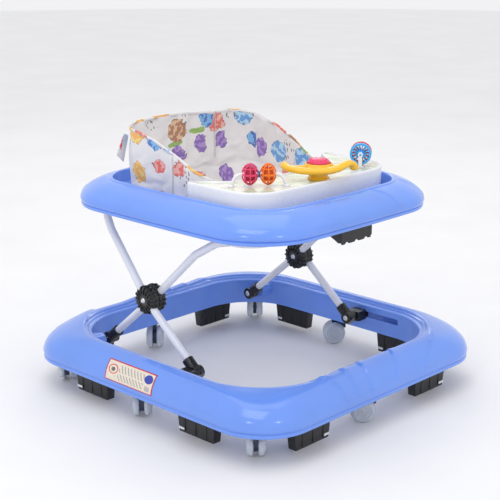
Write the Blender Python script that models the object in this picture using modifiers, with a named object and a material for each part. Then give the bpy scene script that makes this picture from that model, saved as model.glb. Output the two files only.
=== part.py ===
"""Baby walker: a wheeled base ring, a scissor leg frame, an upper ring with a toy tray and a fabric seat.

Metres, +Z up, the floor at z = 0. The child faces -Y. The object's middle is at x = 0.
"""
import math

import bmesh
import bpy
from mathutils import Matrix, Vector

for old in list(bpy.data.objects):
    bpy.data.objects.remove(old, do_unlink=True)

# ---------------------------------------------------------------- driving dimensions
BASE_X, BASE_Y = 0.325, 0.335          # half size of the base ring at its widest line
BASE_WALL = 0.0030
BASE_LIP_Z, BASE_RIDGE_Z = 0.0550, 0.1195
BASE_IN = 0.065                        # rail width, outside to inside

TOP_X, TOP_FRONT, TOP_BACK = 0.259, -0.2674, 0.2866
TOP_LIP_Z, TOP_RIDGE_Z = 0.3640, 0.4105
SHELF_Z = 0.3910                       # ledge that carries the tray

PIVOT_Z = 0.0920                       # height of the four lower leg ends
REAR_PIVOT_Y, SLIDER_Y = 0.2050, -0.0600
HUB_Y, HUB_Z = 0.0725, 0.2030
TOP_PIVOT_Y, TOP_PIVOT_Z = 0.1830, 0.3810
CROSSBAR_Y, CROSSBAR_Z = -0.1840, 0.3510
LEG_A_X, LEG_B_X = 0.2200, 0.2005
TUBE_R, TUBE_WALL = 0.0075, 0.0014
FOLD_DEG = 38.0

SLOT_Y0, SLOT_Y1, SLOT_H = -0.1570, -0.0450, 0.0120

WHEEL_R, WHEEL_HALF_W, TRAIL = 0.0240, 0.0180, 0.0180
AXLE_R, STEM_R = 0.0030, 0.0050

TRAY_W, TRAY_FRONT, TRAY_ARM_Y, TRAY_CORNER = 0.194, -0.1845, -0.0140, 0.062
TRAY_TOP_Z, TRAY_FLOOR_Z = 0.4393, 0.4365

WHEEL_TOY = (0.0, -0.160)              # steering wheel axis
ARCH_A, ARCH_B = (-0.160, -0.094), (-0.086, -0.160)
ARCH_Z = 0.459
ROLLER_C, ROLLER_Z, ROLLER_AXIS = (0.140, -0.145), 0.4620, (0.806, 0.592)

CLEAR = 0.0003

# ---------------------------------------------------------------- scene and materials
scene = bpy.context.scene
parts = bpy.data.collections.new("baby_walker")
cutters = bpy.data.collections.new("cutters")
scene.collection.children.link(parts)
scene.collection.children.link(cutters)


def material(name, rgb, rough, metal=0.0, transmission=0.0):
    mat = bpy.data.materials.new(name)
    mat.use_nodes = True
    mat.diffuse_color = (*rgb, 1)
    bsdf = mat.node_tree.nodes["Principled BSDF"]
    bsdf.inputs["Base Color"].default_value = (*rgb, 1)
    bsdf.inputs["Roughness"].default_value = rough
    bsdf.inputs["Metallic"].default_value = metal
    bsdf.inputs["Transmission Weight"].default_value = transmission
    return mat


def pick(name, rgb, rough, metal=0.0, transmission=0.0):
    """Each sub-part's own material."""
    return material("m_" + name, rgb, rough, metal, transmission)


BLUE = ((0.17, 0.33, 0.86), 0.22)
BLACK = ((0.012, 0.012, 0.013), 0.35)
RUBBER = ((0.02, 0.02, 0.02), 0.7)
WHITE_PAINT = ((0.80, 0.82, 0.86), 0.3)
WHITE = ((0.86, 0.87, 0.89), 0.35)
STEEL = ((0.62, 0.63, 0.65), 0.3, 1.0)
CLEAR_WHEEL = ((0.78, 0.83, 0.9), 0.2, 0.0, 0.3)
FORK = ((0.03, 0.05, 0.10), 0.35)
YELLOW = ((0.95, 0.55, 0.03), 0.35)
PINK = ((0.80, 0.05, 0.14), 0.35)
ORANGE = ((0.95, 0.25, 0.01), 0.35)
RED = ((0.75, 0.03, 0.05), 0.35)
SKY = ((0.05, 0.42, 0.85), 0.35)
NAVY = ((0.02, 0.03, 0.25), 0.4)
FABRIC = ((0.78, 0.77, 0.76), 0.9)


def add(name, mesh, colour=None, hidden=False):
    obj = bpy.data.objects.new(name, mesh)
    (cutters if hidden else parts).objects.link(obj)
    if hidden:
        obj.hide_render = True
        obj.display_type = "WIRE"
    elif colour is not None:
        mesh.materials.clear()
        mesh.materials.append(pick(name, *colour))
    return obj


def bake(obj):
    """The evaluated shape as a plain mesh, welded, with the object's transform applied."""
    bpy.context.view_layer.update()
    graph = bpy.context.evaluated_depsgraph_get()
    mesh = bpy.data.meshes.new_from_object(obj.evaluated_get(graph))
    mesh.transform(obj.matrix_world)
    bm = bmesh.new()
    bm.from_mesh(mesh)
    bmesh.ops.remove_doubles(bm, verts=bm.verts, dist=1e-6)
    bmesh.ops.recalc_face_normals(bm, faces=bm.faces)
    bm.to_mesh(mesh)
    bm.free()
    return mesh


def boolean(obj, cutter, operation="DIFFERENCE"):
    mod = obj.modifiers.new(operation.lower(), "BOOLEAN")
    mod.operation = operation
    mod.object = cutter
    mod.solver = "EXACT"


def flatten(obj, name=None, colour=None):
    """Applies an object's modifiers and transform, and drops the helpers' hold on it."""
    mesh = bake(obj)
    label = name or obj.name
    hidden = obj.hide_render
    bpy.data.objects.remove(obj, do_unlink=True)
    mesh.name = label
    return add(label, mesh, colour, hidden)


# ---------------------------------------------------------------- primitives
def box(name, low, high, colour=None, hidden=False, bevel=0.0, turn=None):
    """turn is (axis, angle, point): the box is turned about that point."""
    bm = bmesh.new()
    bmesh.ops.create_cube(bm, size=1)
    size = Vector(high) - Vector(low)
    mid = (Vector(high) + Vector(low)) / 2
    bmesh.ops.scale(bm, vec=size, verts=bm.verts)
    bmesh.ops.translate(bm, vec=mid, verts=bm.verts)
    if turn:
        axis, angle, point = turn
        bmesh.ops.rotate(bm, cent=point, matrix=Matrix.Rotation(angle, 3, axis), verts=bm.verts)
    if bevel:
        bmesh.ops.bevel(bm, geom=bm.edges[:], offset=bevel, segments=1, affect="EDGES")
    mesh = bpy.data.meshes.new(name)
    bm.to_mesh(mesh)
    bm.free()
    return add(name, mesh, colour, hidden)


def rod(name, start, end, radius, colour=None, hidden=False, sides=16, radius2=None):
    a, b = Vector(start), Vector(end)
    bm = bmesh.new()
    bmesh.ops.create_cone(bm, cap_ends=True, segments=sides, radius1=radius,
                          radius2=radius if radius2 is None else radius2, depth=(b - a).length)
    turn = (b - a).to_track_quat("Z", "Y").to_matrix()
    bmesh.ops.rotate(bm, cent=(0, 0, 0), matrix=turn, verts=bm.verts)
    bmesh.ops.translate(bm, vec=(a + b) / 2, verts=bm.verts)
    mesh = bpy.data.meshes.new(name)
    bm.to_mesh(mesh)
    bm.free()
    return add(name, mesh, colour, hidden)


def turned(name, profile, place, colour=None, hidden=False, steps=16):
    """A profile of (radius, height) about local Z, turned by a Screw and placed by a matrix."""
    mesh = bpy.data.meshes.new(name)
    mesh.from_pydata([(r, 0, z) for r, z in profile], [(i, i + 1) for i in range(len(profile) - 1)], [])
    obj = add(name, mesh, None, hidden)
    mod = obj.modifiers.new("screw", "SCREW")
    mod.steps = mod.render_steps = steps
    mod.use_merge_vertices = True
    mod.merge_threshold = 1e-5
    mod.use_smooth_shade = False
    obj.matrix_world = place
    return flatten(obj, name, colour)


def bar(name, points, radius, colour=None, hidden=False, resolution=2, fill=True):
    """A tube along a smooth run of points."""
    curve = bpy.data.curves.new(name, "CURVE")
    curve.dimensions = "3D"
    curve.bevel_depth = radius
    curve.bevel_resolution = resolution
    curve.use_fill_caps = fill
    spline = curve.splines.new("POLY")
    spline.points.add(len(points) - 1)
    for p, co in zip(spline.points, points):
        p.co = (*co, 1)
    obj = bpy.data.objects.new(name, curve)
    cutters.objects.link(obj)
    mesh = bake(obj)
    bpy.data.objects.remove(obj, do_unlink=True)
    return add(name, mesh, colour, hidden)


def hollow(obj, wall):
    mod = obj.modifiers.new("wall", "SOLIDIFY")
    mod.thickness = wall
    mod.offset = -1
    mod.use_even_offset = True


def rounded(points, radius, steps=4):
    """The same run of points with its inner corners cut by arcs of about this radius."""
    out = [Vector(points[0])]
    for i in range(1, len(points) - 1):
        p, a, b = Vector(points[i]), Vector(points[i - 1]), Vector(points[i + 1])
        u, v = (a - p), (b - p)
        bend = math.pi - u.angle(v)
        reach = min(radius * math.tan(bend / 2), 0.48 * u.length, 0.48 * v.length)
        s, e = p + u.normalized() * reach, p + v.normalized() * reach
        for k in range(steps + 1):
            t = k / steps
            out.append((1 - t) ** 2 * s + 2 * t * (1 - t) * p + t ** 2 * e)
    out.append(Vector(points[-1]))
    return out


# ---------------------------------------------------------------- plan loops and lofts
CORNER_STEPS, SIDE_STEPS = 6, 2


def plan(hx, y0, y1, r_front, r_back, z, bulge=0.0):
    """A rounded rectangle seen from above, from (hx, y0) anticlockwise. z is a height or a function of y."""
    corners = ((hx - r_back, y1 - r_back, r_back, 0), (-hx + r_back, y1 - r_back, r_back, 90),
               (-hx + r_front, y0 + r_front, r_front, 180), (hx - r_front, y0 + r_front, r_front, 270))
    ring = []
    for n, (cx, cy, r, start) in enumerate(corners):
        for k in range(CORNER_STEPS + 1):
            a = math.radians(start + 90 * k / CORNER_STEPS)
            ring.append((cx + r * math.cos(a), cy + r * math.sin(a)))
        nx, ny, nr, ns = corners[(n + 1) % 4]
        a = math.radians(ns)
        end = (nx + nr * math.cos(a), ny + nr * math.sin(a))
        last = ring[-1]
        for k in range(1, SIDE_STEPS):
            t = k / SIDE_STEPS
            ring.append((last[0] + (end[0] - last[0]) * t, last[1] + (end[1] - last[1]) * t))
    mid = (y0 + y1) / 2
    half = (y1 - y0) / 2
    out = []
    for x, y in ring:
        v = (y - mid) / half
        u = x / hx
        dx = bulge * max(0.0, 1 - v * v) * (1 if x > 0 else -1) * abs(u) ** 4
        dy = bulge * max(0.0, 1 - u * u) * (1 if v > 0 else -1) * abs(v) ** 4
        out.append((x + dx, y + dy, z(y) if callable(z) else z))
    return out


def loft(name, loops, close=False, cap_last=False, cap_first=False, colour=None, hidden=False):
    """Faces between unlike loops of the same count."""
    bm = bmesh.new()
    rings = [[bm.verts.new(p) for p in loop] for loop in loops]
    count = len(loops[0])
    pairs = list(zip(rings, rings[1:])) + ([(rings[-1], rings[0])] if close else [])
    for a, b in pairs:
        for i in range(count):
            j = (i + 1) % count
            bm.faces.new((a[i], a[j], b[j], b[i]))
    if cap_last:
        bm.faces.new(rings[-1])
    if cap_first:
        bm.faces.new(rings[0][::-1])
    bmesh.ops.recalc_face_normals(bm, faces=bm.faces)
    mesh = bpy.data.meshes.new(name)
    bm.to_mesh(mesh)
    bm.free()
    return add(name, mesh, colour, hidden)


# ================================================================ base ring
def base_loop(inset, z, r):
    return plan(BASE_X - inset, -BASE_Y + inset, BASE_Y - inset, r, r, z)


base_ring = loft("base_ring", [base_loop(*v) for v in (
    (0.0075, 0.0550, 0.099), (0.0015, 0.0610, 0.103), (0.0, 0.0720, 0.104), (0.0045, 0.0890, 0.106),
    (0.0140, 0.1035, 0.113), (0.0270, 0.1145, 0.126), (0.0400, 0.1195, 0.141), (0.0500, 0.1190, 0.140),
    (0.0540, 0.1150, 0.136), (0.0620, 0.1138, 0.124), (0.0650, 0.1105, 0.120), (0.0650, 0.0580, 0.120))],
    close=True, colour=BLUE)
cavity = loft("base_cavity", [base_loop(*v) for v in (
    (0.0105, 0.0450, 0.096), (0.0045, 0.0625, 0.100), (0.0030, 0.0720, 0.101), (0.0075, 0.0875, 0.103),
    (0.0165, 0.1010, 0.110), (0.0285, 0.1115, 0.123), (0.0405, 0.1164, 0.138), (0.0490, 0.1160, 0.137),
    (0.0525, 0.1120, 0.133), (0.0605, 0.1106, 0.122), (0.0620, 0.1090, 0.119), (0.0620, 0.0450, 0.119))],
    close=True, hidden=True)

CASTORS = {  # swivel axis (x, y) and the heading of the trail in degrees
    "front_left": (-0.272, -0.262, 44), "front_right": (0.272, -0.262, 140),
    "back_left": (-0.272, 0.262, 44), "back_right": (0.272, 0.262, 44),
    "mid_front": (0.0, -0.300, 135), "mid_back": (0.0, 0.300, 224),
    "mid_left": (-0.290, 0.015, 44), "mid_right": (0.290, 0.015, 134),
}
BLOCKS = {  # middle (x, y) and the long direction
    "front_left": (-0.172, -0.297, "x"), "front_right": (0.172, -0.297, "x"),
    "back_left": (-0.172, 0.297, "x"), "back_right": (0.172, 0.297, "x"),
    "left_front": (-0.287, -0.140, "y"), "left_back": (-0.287, 0.150, "y"),
    "right_front": (0.287, -0.140, "y"), "right_back": (0.287, 0.150, "y"),
}

for key, (x, y, _) in CASTORS.items():
    boolean(cavity, rod("boss_" + key, (x, y, 0.0548), (x, y, 0.140), 0.0125, hidden=True, sides=16))
for key, (x, y, way) in BLOCKS.items():
    hx, hy = (0.034, 0.0105) if way == "x" else (0.0105, 0.034)
    boolean(cavity, box("pad_" + key, (x - hx, y - hy, 0.0600), (x + hx, y + hy, 0.140), hidden=True))
boolean(base_ring, cavity)
for side, s in (("left", -1), ("right", 1)):
    # boss on the inner wall that carries the rear leg's pivot
    lo, hi = sorted((s * 0.2240, s * 0.2560))
    boolean(base_ring, box("rear_boss_" + side, (lo, 0.189, 0.0780), (hi, 0.221, 0.1060), hidden=True), "UNION")
for key, (x, y, _) in CASTORS.items():
    boolean(base_ring, rod("stem_bore_" + key, (x, y, 0.040), (x, y, 0.0860), STEM_R + CLEAR, hidden=True, sides=12))
for side, s in (("left", -1), ("right", 1)):
    lo, hi = sorted((s * 0.2500, s * 0.2700))
    boolean(base_ring, box("slot_" + side, (lo, SLOT_Y0, PIVOT_Z - SLOT_H / 2), (hi, SLOT_Y1, PIVOT_Z + SLOT_H / 2), hidden=True))
    boolean(base_ring, rod("rear_bore_" + side, (s * 0.215, REAR_PIVOT_Y, PIVOT_Z), (s * 0.2450, REAR_PIVOT_Y, PIVOT_Z), 0.0033, hidden=True, sides=12))

# ---------------------------------------------------------------- anti-fall brake blocks
for key, (x, y, way) in BLOCKS.items():
    hx, hy = (0.046, 0.0115) if way == "x" else (0.0115, 0.046)
    block = box("brake_block_" + key, (x - hx * 0.84, y - hy, 0.0100), (x + hx * 0.84, y + hy, 0.0470), RUBBER, bevel=0.0012)
    if way == "x":
        flange = ((x - 0.052, y - 0.0115, 0.0460), (x + 0.048, y + 0.0115, 0.0540))
        neck = ((x - 0.030, y - 0.0100, 0.0500), (x + 0.030, y + 0.0100, 0.0597))
    else:
        bpy.data.objects.remove(block, do_unlink=True)
        block = box("brake_block_" + key, (x - hx, y - hy * 0.84, 0.0100), (x + hx, y + hy * 0.84, 0.0470), RUBBER, bevel=0.0012)
        flange = ((x - 0.0115, y - 0.048, 0.0460), (x + 0.0115, y + 0.052, 0.0540))
        neck = ((x - 0.0100, y - 0.030, 0.0500), (x + 0.0100, y + 0.030, 0.0597))
    boolean(block, box("flange_" + key, *flange, hidden=True), "UNION")
    boolean(block, box("neck_" + key, *neck, hidden=True), "UNION")

# ---------------------------------------------------------------- castors
half = [(0.0, -WHEEL_HALF_W), (0.006, -WHEEL_HALF_W), (0.0165, -0.0172), (0.0215, -0.0150), (WHEEL_R, -0.0108),
        (0.0236, -0.0070), (0.0212, -0.0048), (AXLE_R, -0.0048)]
wheel_profile = half + [(r, -z) for r, z in reversed(half)]
for key, (x, y, heading) in CASTORS.items():
    a = math.radians(heading)
    cx, cy = x + TRAIL * math.cos(a), y + TRAIL * math.sin(a)
    across = Vector((-math.sin(a), math.cos(a), 0))
    place = Matrix.Translation((cx, cy, WHEEL_R)) @ across.to_track_quat("Z", "Y").to_matrix().to_4x4()
    turned("castor_wheels_" + key, wheel_profile, place, CLEAR_WHEEL, steps=14)
    c = Vector((cx, cy, WHEEL_R))
    fork = rod("castor_fork_" + key, c - across * 0.0042, c + across * 0.0042, 0.0165, FORK, sides=18)
    mid = Vector(((x + cx) / 2, (y + cy) / 2, 0))
    arm = box("arm_" + key, (mid.x - 0.016, mid.y - 0.0039, 0.0343), (mid.x + 0.014, mid.y + 0.0039, 0.0501), hidden=True,
              turn=("Z", a, (mid.x, mid.y, 0)))
    boolean(fork, arm, "UNION")
    boolean(fork, rod("collar_" + key, (x, y, 0.0486), (x, y, 0.0545), 0.0120, hidden=True, sides=16), "UNION")
    boolean(fork, rod("stem_" + key, (x, y, 0.0520), (x, y, 0.0850), STEM_R, hidden=True, sides=12), "UNION")
    boolean(fork, rod("axle_hole_" + key, c - across * 0.02, c + across * 0.02, AXLE_R + 0.0004, hidden=True, sides=12))

# ================================================================ upper ring
def top_loop(inset, z, r):
    return plan(TOP_X - inset, TOP_FRONT + inset, TOP_BACK - inset, r, r, z, 0.006)


def top_inner(hx, y0, y1, z, r):
    return plan(hx, y0, y1, r, r, z, 0.0)


upper_ring = loft("upper_ring", [
    top_loop(0.0080, 0.3640, 0.109), top_loop(0.0018, 0.3695, 0.115), top_loop(0.0, 0.3780, 0.117),
    top_loop(0.0050, 0.3905, 0.114), top_loop(0.0180, 0.4015, 0.106), top_loop(0.0330, 0.4080, 0.094),
    top_loop(0.0440, 0.4105, 0.084), top_loop(0.0500, 0.4105, 0.080), top_loop(0.0530, 0.4075, 0.077),
    top_inner(0.2040, -0.2124, 0.2316, 0.3930, 0.074), top_inner(0.1860, -0.1800, 0.2120, SHELF_Z, 0.060),
    top_inner(0.1840, -0.1780, 0.2100, 0.3890, 0.058), top_inner(0.1840, -0.1780, 0.2100, 0.3740, 0.058)],
    close=True, colour=BLUE)
top_cavity = loft("top_cavity", [
    top_loop(0.0110, 0.3550, 0.105), top_loop(0.0048, 0.3705, 0.111), top_loop(0.0030, 0.3780, 0.113),
    top_loop(0.0080, 0.3885, 0.110), top_loop(0.0195, 0.3985, 0.103), top_loop(0.0340, 0.4048, 0.091),
    top_loop(0.0445, 0.4075, 0.081), top_loop(0.0490, 0.4075, 0.078), top_loop(0.0500, 0.4050, 0.077),
    top_inner(0.2068, -0.2152, 0.2344, 0.3900, 0.076), top_inner(0.1875, -0.1815, 0.2135, 0.3880, 0.061),
    top_inner(0.1870, -0.1810, 0.2130, 0.3870, 0.061), top_inner(0.1870, -0.1810, 0.2130, 0.3550, 0.061)],
    close=True, hidden=True)
for side, s in (("left", -1), ("right", 1)):
    for tag, a, b in (("in", 0.1990, 0.2078), ("out", 0.2325, 0.2440)):
        lo, hi = sorted((s * a, s * b))
        boolean(top_cavity, box("top_boss_%s_%s" % (tag, side), (lo, TOP_PIVOT_Y - 0.011, 0.3680), (hi, TOP_PIVOT_Y + 0.011, 0.430), hidden=True))
boolean(top_cavity, box("adjuster_pad", (-0.030, -0.2420, 0.3830), (0.030, -0.2170, 0.430), hidden=True))
boolean(upper_ring, top_cavity)
for side, s in (("left", -1), ("right", 1)):
    boolean(upper_ring, rod("top_bore_" + side, (s * 0.190, TOP_PIVOT_Y, TOP_PIVOT_Z), (s * 0.2400, TOP_PIVOT_Y, TOP_PIVOT_Z), 0.0033, hidden=True, sides=12))

# ================================================================ leg frames
A_RUN = [(SLIDER_Y, PIVOT_Z), (HUB_Y, HUB_Z), (0.170, 0.3240), (0.1810, 0.3480), (TOP_PIVOT_Y, TOP_PIVOT_Z)]
B_RUN = [(REAR_PIVOT_Y, PIVOT_Z), (HUB_Y, HUB_Z), (-0.0400, 0.3080), (-0.0980, 0.3420), (-0.1340, 0.3510)]


def short(run, start=0.0, end=0.0):
    """The run with its two ends drawn back along their own legs."""
    pts = [Vector((0, *p)) for p in run]
    if start:
        pts[0] = pts[0] + (pts[1] - pts[0]).normalized() * start
    if end:
        pts[-1] = pts[-1] + (pts[-2] - pts[-1]).normalized() * end
    return [(p.y, p.z) for p in pts]


END_GAP = 0.0135                       # from a pivot to the tube's cut end, inside its black end cap
LEG_A = rounded([(0, y, z) for y, z in short(A_RUN, END_GAP, END_GAP)], 0.060, 3)
b_side = short(B_RUN, END_GAP)
LEG_B = rounded([(-LEG_B_X, y, z) for y, z in b_side], 0.055, 4)
CROSSBAR_BEND = LEG_B[-1].y - CROSSBAR_Y
LEG_B += [Vector((-LEG_B_X + CROSSBAR_BEND * (1 - math.cos(math.radians(a))), LEG_B[-1].y - CROSSBAR_BEND * math.sin(math.radians(a)), CROSSBAR_Z))
          for a in (18, 36, 54, 72, 90)]
LEG_B = LEG_B + [Vector((-p.x, p.y, p.z)) for p in reversed(LEG_B)]

frame_b = bar("leg_frame_rear_to_front", LEG_B, TUBE_R, WHITE_PAINT, resolution=1, fill=False)
hollow(frame_b, TUBE_WALL)
legs_a = {}
for side, s in (("left", -1), ("right", 1)):
    leg = bar("side_leg_" + side, [(s * LEG_A_X, p.y, p.z) for p in LEG_A], TUBE_R, WHITE_PAINT, resolution=1, fill=False)
    hollow(leg, TUBE_WALL)
    legs_a[side] = leg

# ---------------------------------------------------------------- scissor hubs, end caps, pins
def along(run, index, other):
    a, b = Vector((0, *run[index])), Vector((0, *run[other]))
    return (b - a).normalized()


def end_cap(name, x, at, direction, long, colour=BLACK, trunnion=None):
    """A black cap over a tube's end, with the pivot hole across it, or with moulded stub pins."""
    p = Vector((x, *at))
    side = Vector((1, 0, 0))
    tail = p - direction * 0.0115
    cap = rod(name, tail, p + direction * long, 0.0112, colour, sides=12)
    nose = rod(name + "_nose", p - side * 0.0106, p + side * 0.0106, 0.0122, hidden=True, sides=16)
    boolean(cap, nose, "UNION")
    boolean(cap, rod(name + "_socket", p + direction * (END_GAP - 0.0005), p + direction * (long + 0.01), TUBE_R + 0.0004, hidden=True, sides=12))
    if trunnion:
        boolean(cap, rod(name + "_trunnion", (trunnion[0], *at), (trunnion[1], *at), 0.0030, hidden=True, sides=12), "UNION")
    else:
        boolean(cap, rod(name + "_hole", p - side * 0.02, p + side * 0.02, 0.0034, hidden=True, sides=12))
    return cap


def rivet(name, x0, x1, y, z, head_at, r=0.0030, head=0.0058, colour=STEEL, second_head=False):
    """A pin along X from x0 to x1, with a domed head outside head_at."""
    pin = rod(name, (x0, y, z), (x1, y, z), r, colour, sides=12)
    step = -0.0022 if head_at < (x0 + x1) / 2 else 0.0022
    boolean(pin, rod(name + "_head", (head_at - step * 0.2, y, z), (head_at + step, y, z), head, hidden=True, sides=16, radius2=head * 0.6), "UNION")
    if second_head:
        far = x1 if head_at == x0 else x0
        boolean(pin, rod(name + "_head2", (far + step * 0.2, y, z), (far - step, y, z), head, hidden=True, sides=16, radius2=head * 0.6), "UNION")
    return pin


fat_a = [Vector((0, y, z)) for y, z in A_RUN]
fat_b = [Vector((0, y, z)) for y, z in B_RUN]
for side, s in (("left", -1), ("right", 1)):
    for tag, x_mid, run in (("outer", LEG_A_X, A_RUN), ("inner", LEG_B_X, B_RUN)):
        lo, hi = s * (x_mid - 0.0094), s * (x_mid + 0.0094)
        hub = rod("scissor_hub_%s_%s" % (tag, side), (lo, HUB_Y, HUB_Z), (hi, HUB_Y, HUB_Z), 0.0260, BLACK, sides=24)
        h, before, after = Vector((0, *run[1])), along(run, 1, 0), along(run, 1, 2)
        bend = rounded([h + before * 0.050, h, h + after * 0.050], 0.060 if tag == "outer" else 0.055, 3 if tag == "outer" else 4)
        channel = bar("channel_%s_%s" % (tag, side), [(s * x_mid, p.y, p.z) for p in bend], TUBE_R + 0.0006, hidden=True, resolution=1)
        boolean(hub, channel)
        boolean(hub, rod("hub_hole_%s_%s" % (tag, side), (s * 0.17, HUB_Y, HUB_Z), (s * 0.25, HUB_Y, HUB_Z), 0.0034, hidden=True, sides=12))
    hole = rod("tube_hole_" + side, (s * 0.17, HUB_Y, HUB_Z), (s * 0.25, HUB_Y, HUB_Z), 0.0034, hidden=True, sides=12)
    boolean(legs_a[side], hole)
    boolean(frame_b, hole)
    rivet("hub_rivet_" + side, s * 0.1903, s * 0.2302, HUB_Y, HUB_Z, s * 0.2302, second_head=True)

    end_cap("rear_foot_cap_" + side, s * LEG_B_X, B_RUN[0], along(B_RUN, 0, 1), 0.030)
    rivet("rear_foot_pin_" + side, s * 0.1884, s * 0.2440, REAR_PIVOT_Y, PIVOT_Z, s * 0.1884)
    end_cap("front_foot_cap_" + side, s * LEG_A_X, A_RUN[0], along(A_RUN, 0, 1), 0.030)
    rivet("front_foot_pin_" + side, s * 0.2079, s * 0.2640, SLIDER_Y, PIVOT_Z, s * 0.2079)
    end_cap("top_pivot_cap_" + side, s * LEG_A_X, A_RUN[-1], along(A_RUN, -1, -2), 0.026, trunnion=(s * 0.2000, s * 0.2395))

    # slider that runs in the inner wall's slot
    wall_x = BASE_X - BASE_IN
    def span(a, b):
        return sorted((s * a, s * b))
    lo, hi = span(0.2325, wall_x - 0.0010)
    slider = box("slider_block_" + side, (lo, SLIDER_Y - 0.0150, PIVOT_Z - 0.0105), (hi, SLIDER_Y + 0.0150, PIVOT_Z + 0.0105), BLACK, bevel=0.0010)
    lo, hi = span(wall_x - 0.003, wall_x + 0.006)
    boolean(slider, box("slider_neck_" + side, (lo, SLIDER_Y - 0.0120, PIVOT_Z - 0.0056), (hi, SLIDER_Y + 0.0120, PIVOT_Z + 0.0056), hidden=True), "UNION")
    lo, hi = span(wall_x + BASE_WALL + CLEAR, wall_x + 0.0075)
    boolean(slider, box("slider_tail_" + side, (lo, SLIDER_Y - 0.0140, PIVOT_Z - 0.0090), (hi, SLIDER_Y + 0.0140, PIVOT_Z + 0.0090), hidden=True), "UNION")
    boolean(slider, rod("slider_hole_" + side, (s * 0.220, SLIDER_Y, PIVOT_Z), (s * 0.2650, SLIDER_Y, PIVOT_Z), 0.0034, hidden=True, sides=12))

# ---------------------------------------------------------------- height adjuster under the front of the upper ring
adjuster = box("height_adjuster", (-0.0425, -0.2540, 0.3600), (0.0425, -0.1630, 0.3725), BLACK)
for k, x in enumerate((-0.0425, 0.0365)):
    outline = [(-0.2540, 0.3400), (-0.2460, 0.3380), (-0.1940, 0.3640), (-0.1748, 0.3640), (-0.1748, 0.3360), (-0.1630, 0.3360), (-0.1630, 0.3700), (-0.2540, 0.3700)]
    bm = bmesh.new()
    face = bm.faces.new([bm.verts.new((x, y, z)) for y, z in outline])
    grown = bmesh.ops.extrude_face_region(bm, geom=[face])
    bmesh.ops.translate(bm, vec=(0.006, 0, 0), verts=[v for v in grown["geom"] if isinstance(v, bmesh.types.BMVert)])
    bmesh.ops.recalc_face_normals(bm, faces=bm.faces)
    mesh = bpy.data.meshes.new("cheek")
    bm.to_mesh(mesh)
    bm.free()
    boolean(adjuster, add("adjuster_cheek_%d" % k, mesh, hidden=True), "UNION")
boolean(adjuster, box("adjuster_front", (-0.0400, -0.2538, 0.3360), (0.0400, -0.2500, 0.3700), hidden=True), "UNION")
boolean(adjuster, box("adjuster_post", (-0.0280, -0.2400, 0.3710), (0.0280, -0.2190, 0.3827), hidden=True), "UNION")
for k, x in enumerate((-0.027, 0.0, 0.027)):
    boolean(adjuster, rod("adjuster_scallop_%d" % k, (x, -0.262, 0.3330), (x, -0.2490, 0.3330), 0.0068, hidden=True, sides=12))
boolean(adjuster, box("adjuster_notch", (-0.0500, -0.1945, 0.3300), (0.0500, -0.1750, 0.3590), hidden=True))

# ================================================================ toy tray
def tray_outline(offset, z):
    w, f, r = TRAY_W, TRAY_FRONT, TRAY_CORNER
    pts = [(-w, TRAY_ARM_Y)]
    for k in range(9):
        a = math.radians(180 + 90 * k / 8)
        pts.append((-w + r + r * math.cos(a), f + r + r * math.sin(a)))
    for k in range(1, 6):
        pts.append((-(w - r) + 2 * (w - r) * k / 6, f))
    for k in range(9):
        a = math.radians(270 + 90 * k / 8)
        pts.append((w - r + r * math.cos(a), f + r + r * math.sin(a)))
    pts.append((w, TRAY_ARM_Y))
    inner = 0.174
    for k in range(15):
        x = inner * math.cos(math.pi * k / 14)
        pts.append((x, -0.090 + 0.076 * (abs(x) / inner) ** 3.6))
    pts = [(x, y - 0.006 * max(0.0, 1 - (x / w) ** 2) * (1 if y < f + 0.03 else 0)) for x, y in pts]
    out = []
    n = len(pts)
    for i, (x, y) in enumerate(pts):
        a, b = Vector(pts[i - 1]), Vector(pts[(i + 1) % n])
        p = Vector((x, y))
        d1, d2 = (p - a).normalized(), (b - p).normalized()
        n1, n2 = Vector((d1.y, -d1.x)), Vector((d2.y, -d2.x))
        m = (n1 + n2).normalized()
        m = m / max(0.5, m.dot(n1))
        q = p + m * offset
        out.append((q.x, q.y, z))
    return out


toy_tray = loft("toy_tray", [tray_outline(0.0030, 0.3962), tray_outline(-0.0055, 0.3966), tray_outline(-0.0060, 0.3990),
                             tray_outline(0.0, 0.4355), tray_outline(-0.0012, 0.4383), tray_outline(-0.0035, TRAY_TOP_Z),
                             tray_outline(-0.0058, TRAY_TOP_Z - 0.0006), tray_outline(-0.0075, TRAY_FLOOR_Z)],
                cap_last=True, colour=WHITE)
hollow(toy_tray, 0.0024)
toy_tray.modifiers["wall"].use_even_offset = False

# ---------------------------------------------------------------- bead arch
u = (Vector(ARCH_B) - Vector(ARCH_A)).normalized()
a3, b3 = Vector((*ARCH_A, 0)), Vector((*ARCH_B, 0))
u3 = Vector((u.x, u.y, 0))
foot = TRAY_FLOOR_Z + CLEAR
run = rounded([a3 + Vector((0, 0, foot)), a3 + u3 * 0.010 + Vector((0, 0, ARCH_Z)), b3 - u3 * 0.010 + Vector((0, 0, ARCH_Z)), b3 + Vector((0, 0, foot))], 0.014, 3)
arch = bar("bead_arch", run, 0.0033, WHITE, resolution=2)
for k, p in enumerate((a3, b3)):
    boolean(arch, rod("arch_foot_%d" % k, (p.x, p.y, foot), (p.x, p.y, foot + 0.0030), 0.0060, hidden=True, sides=14), "UNION")
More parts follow.
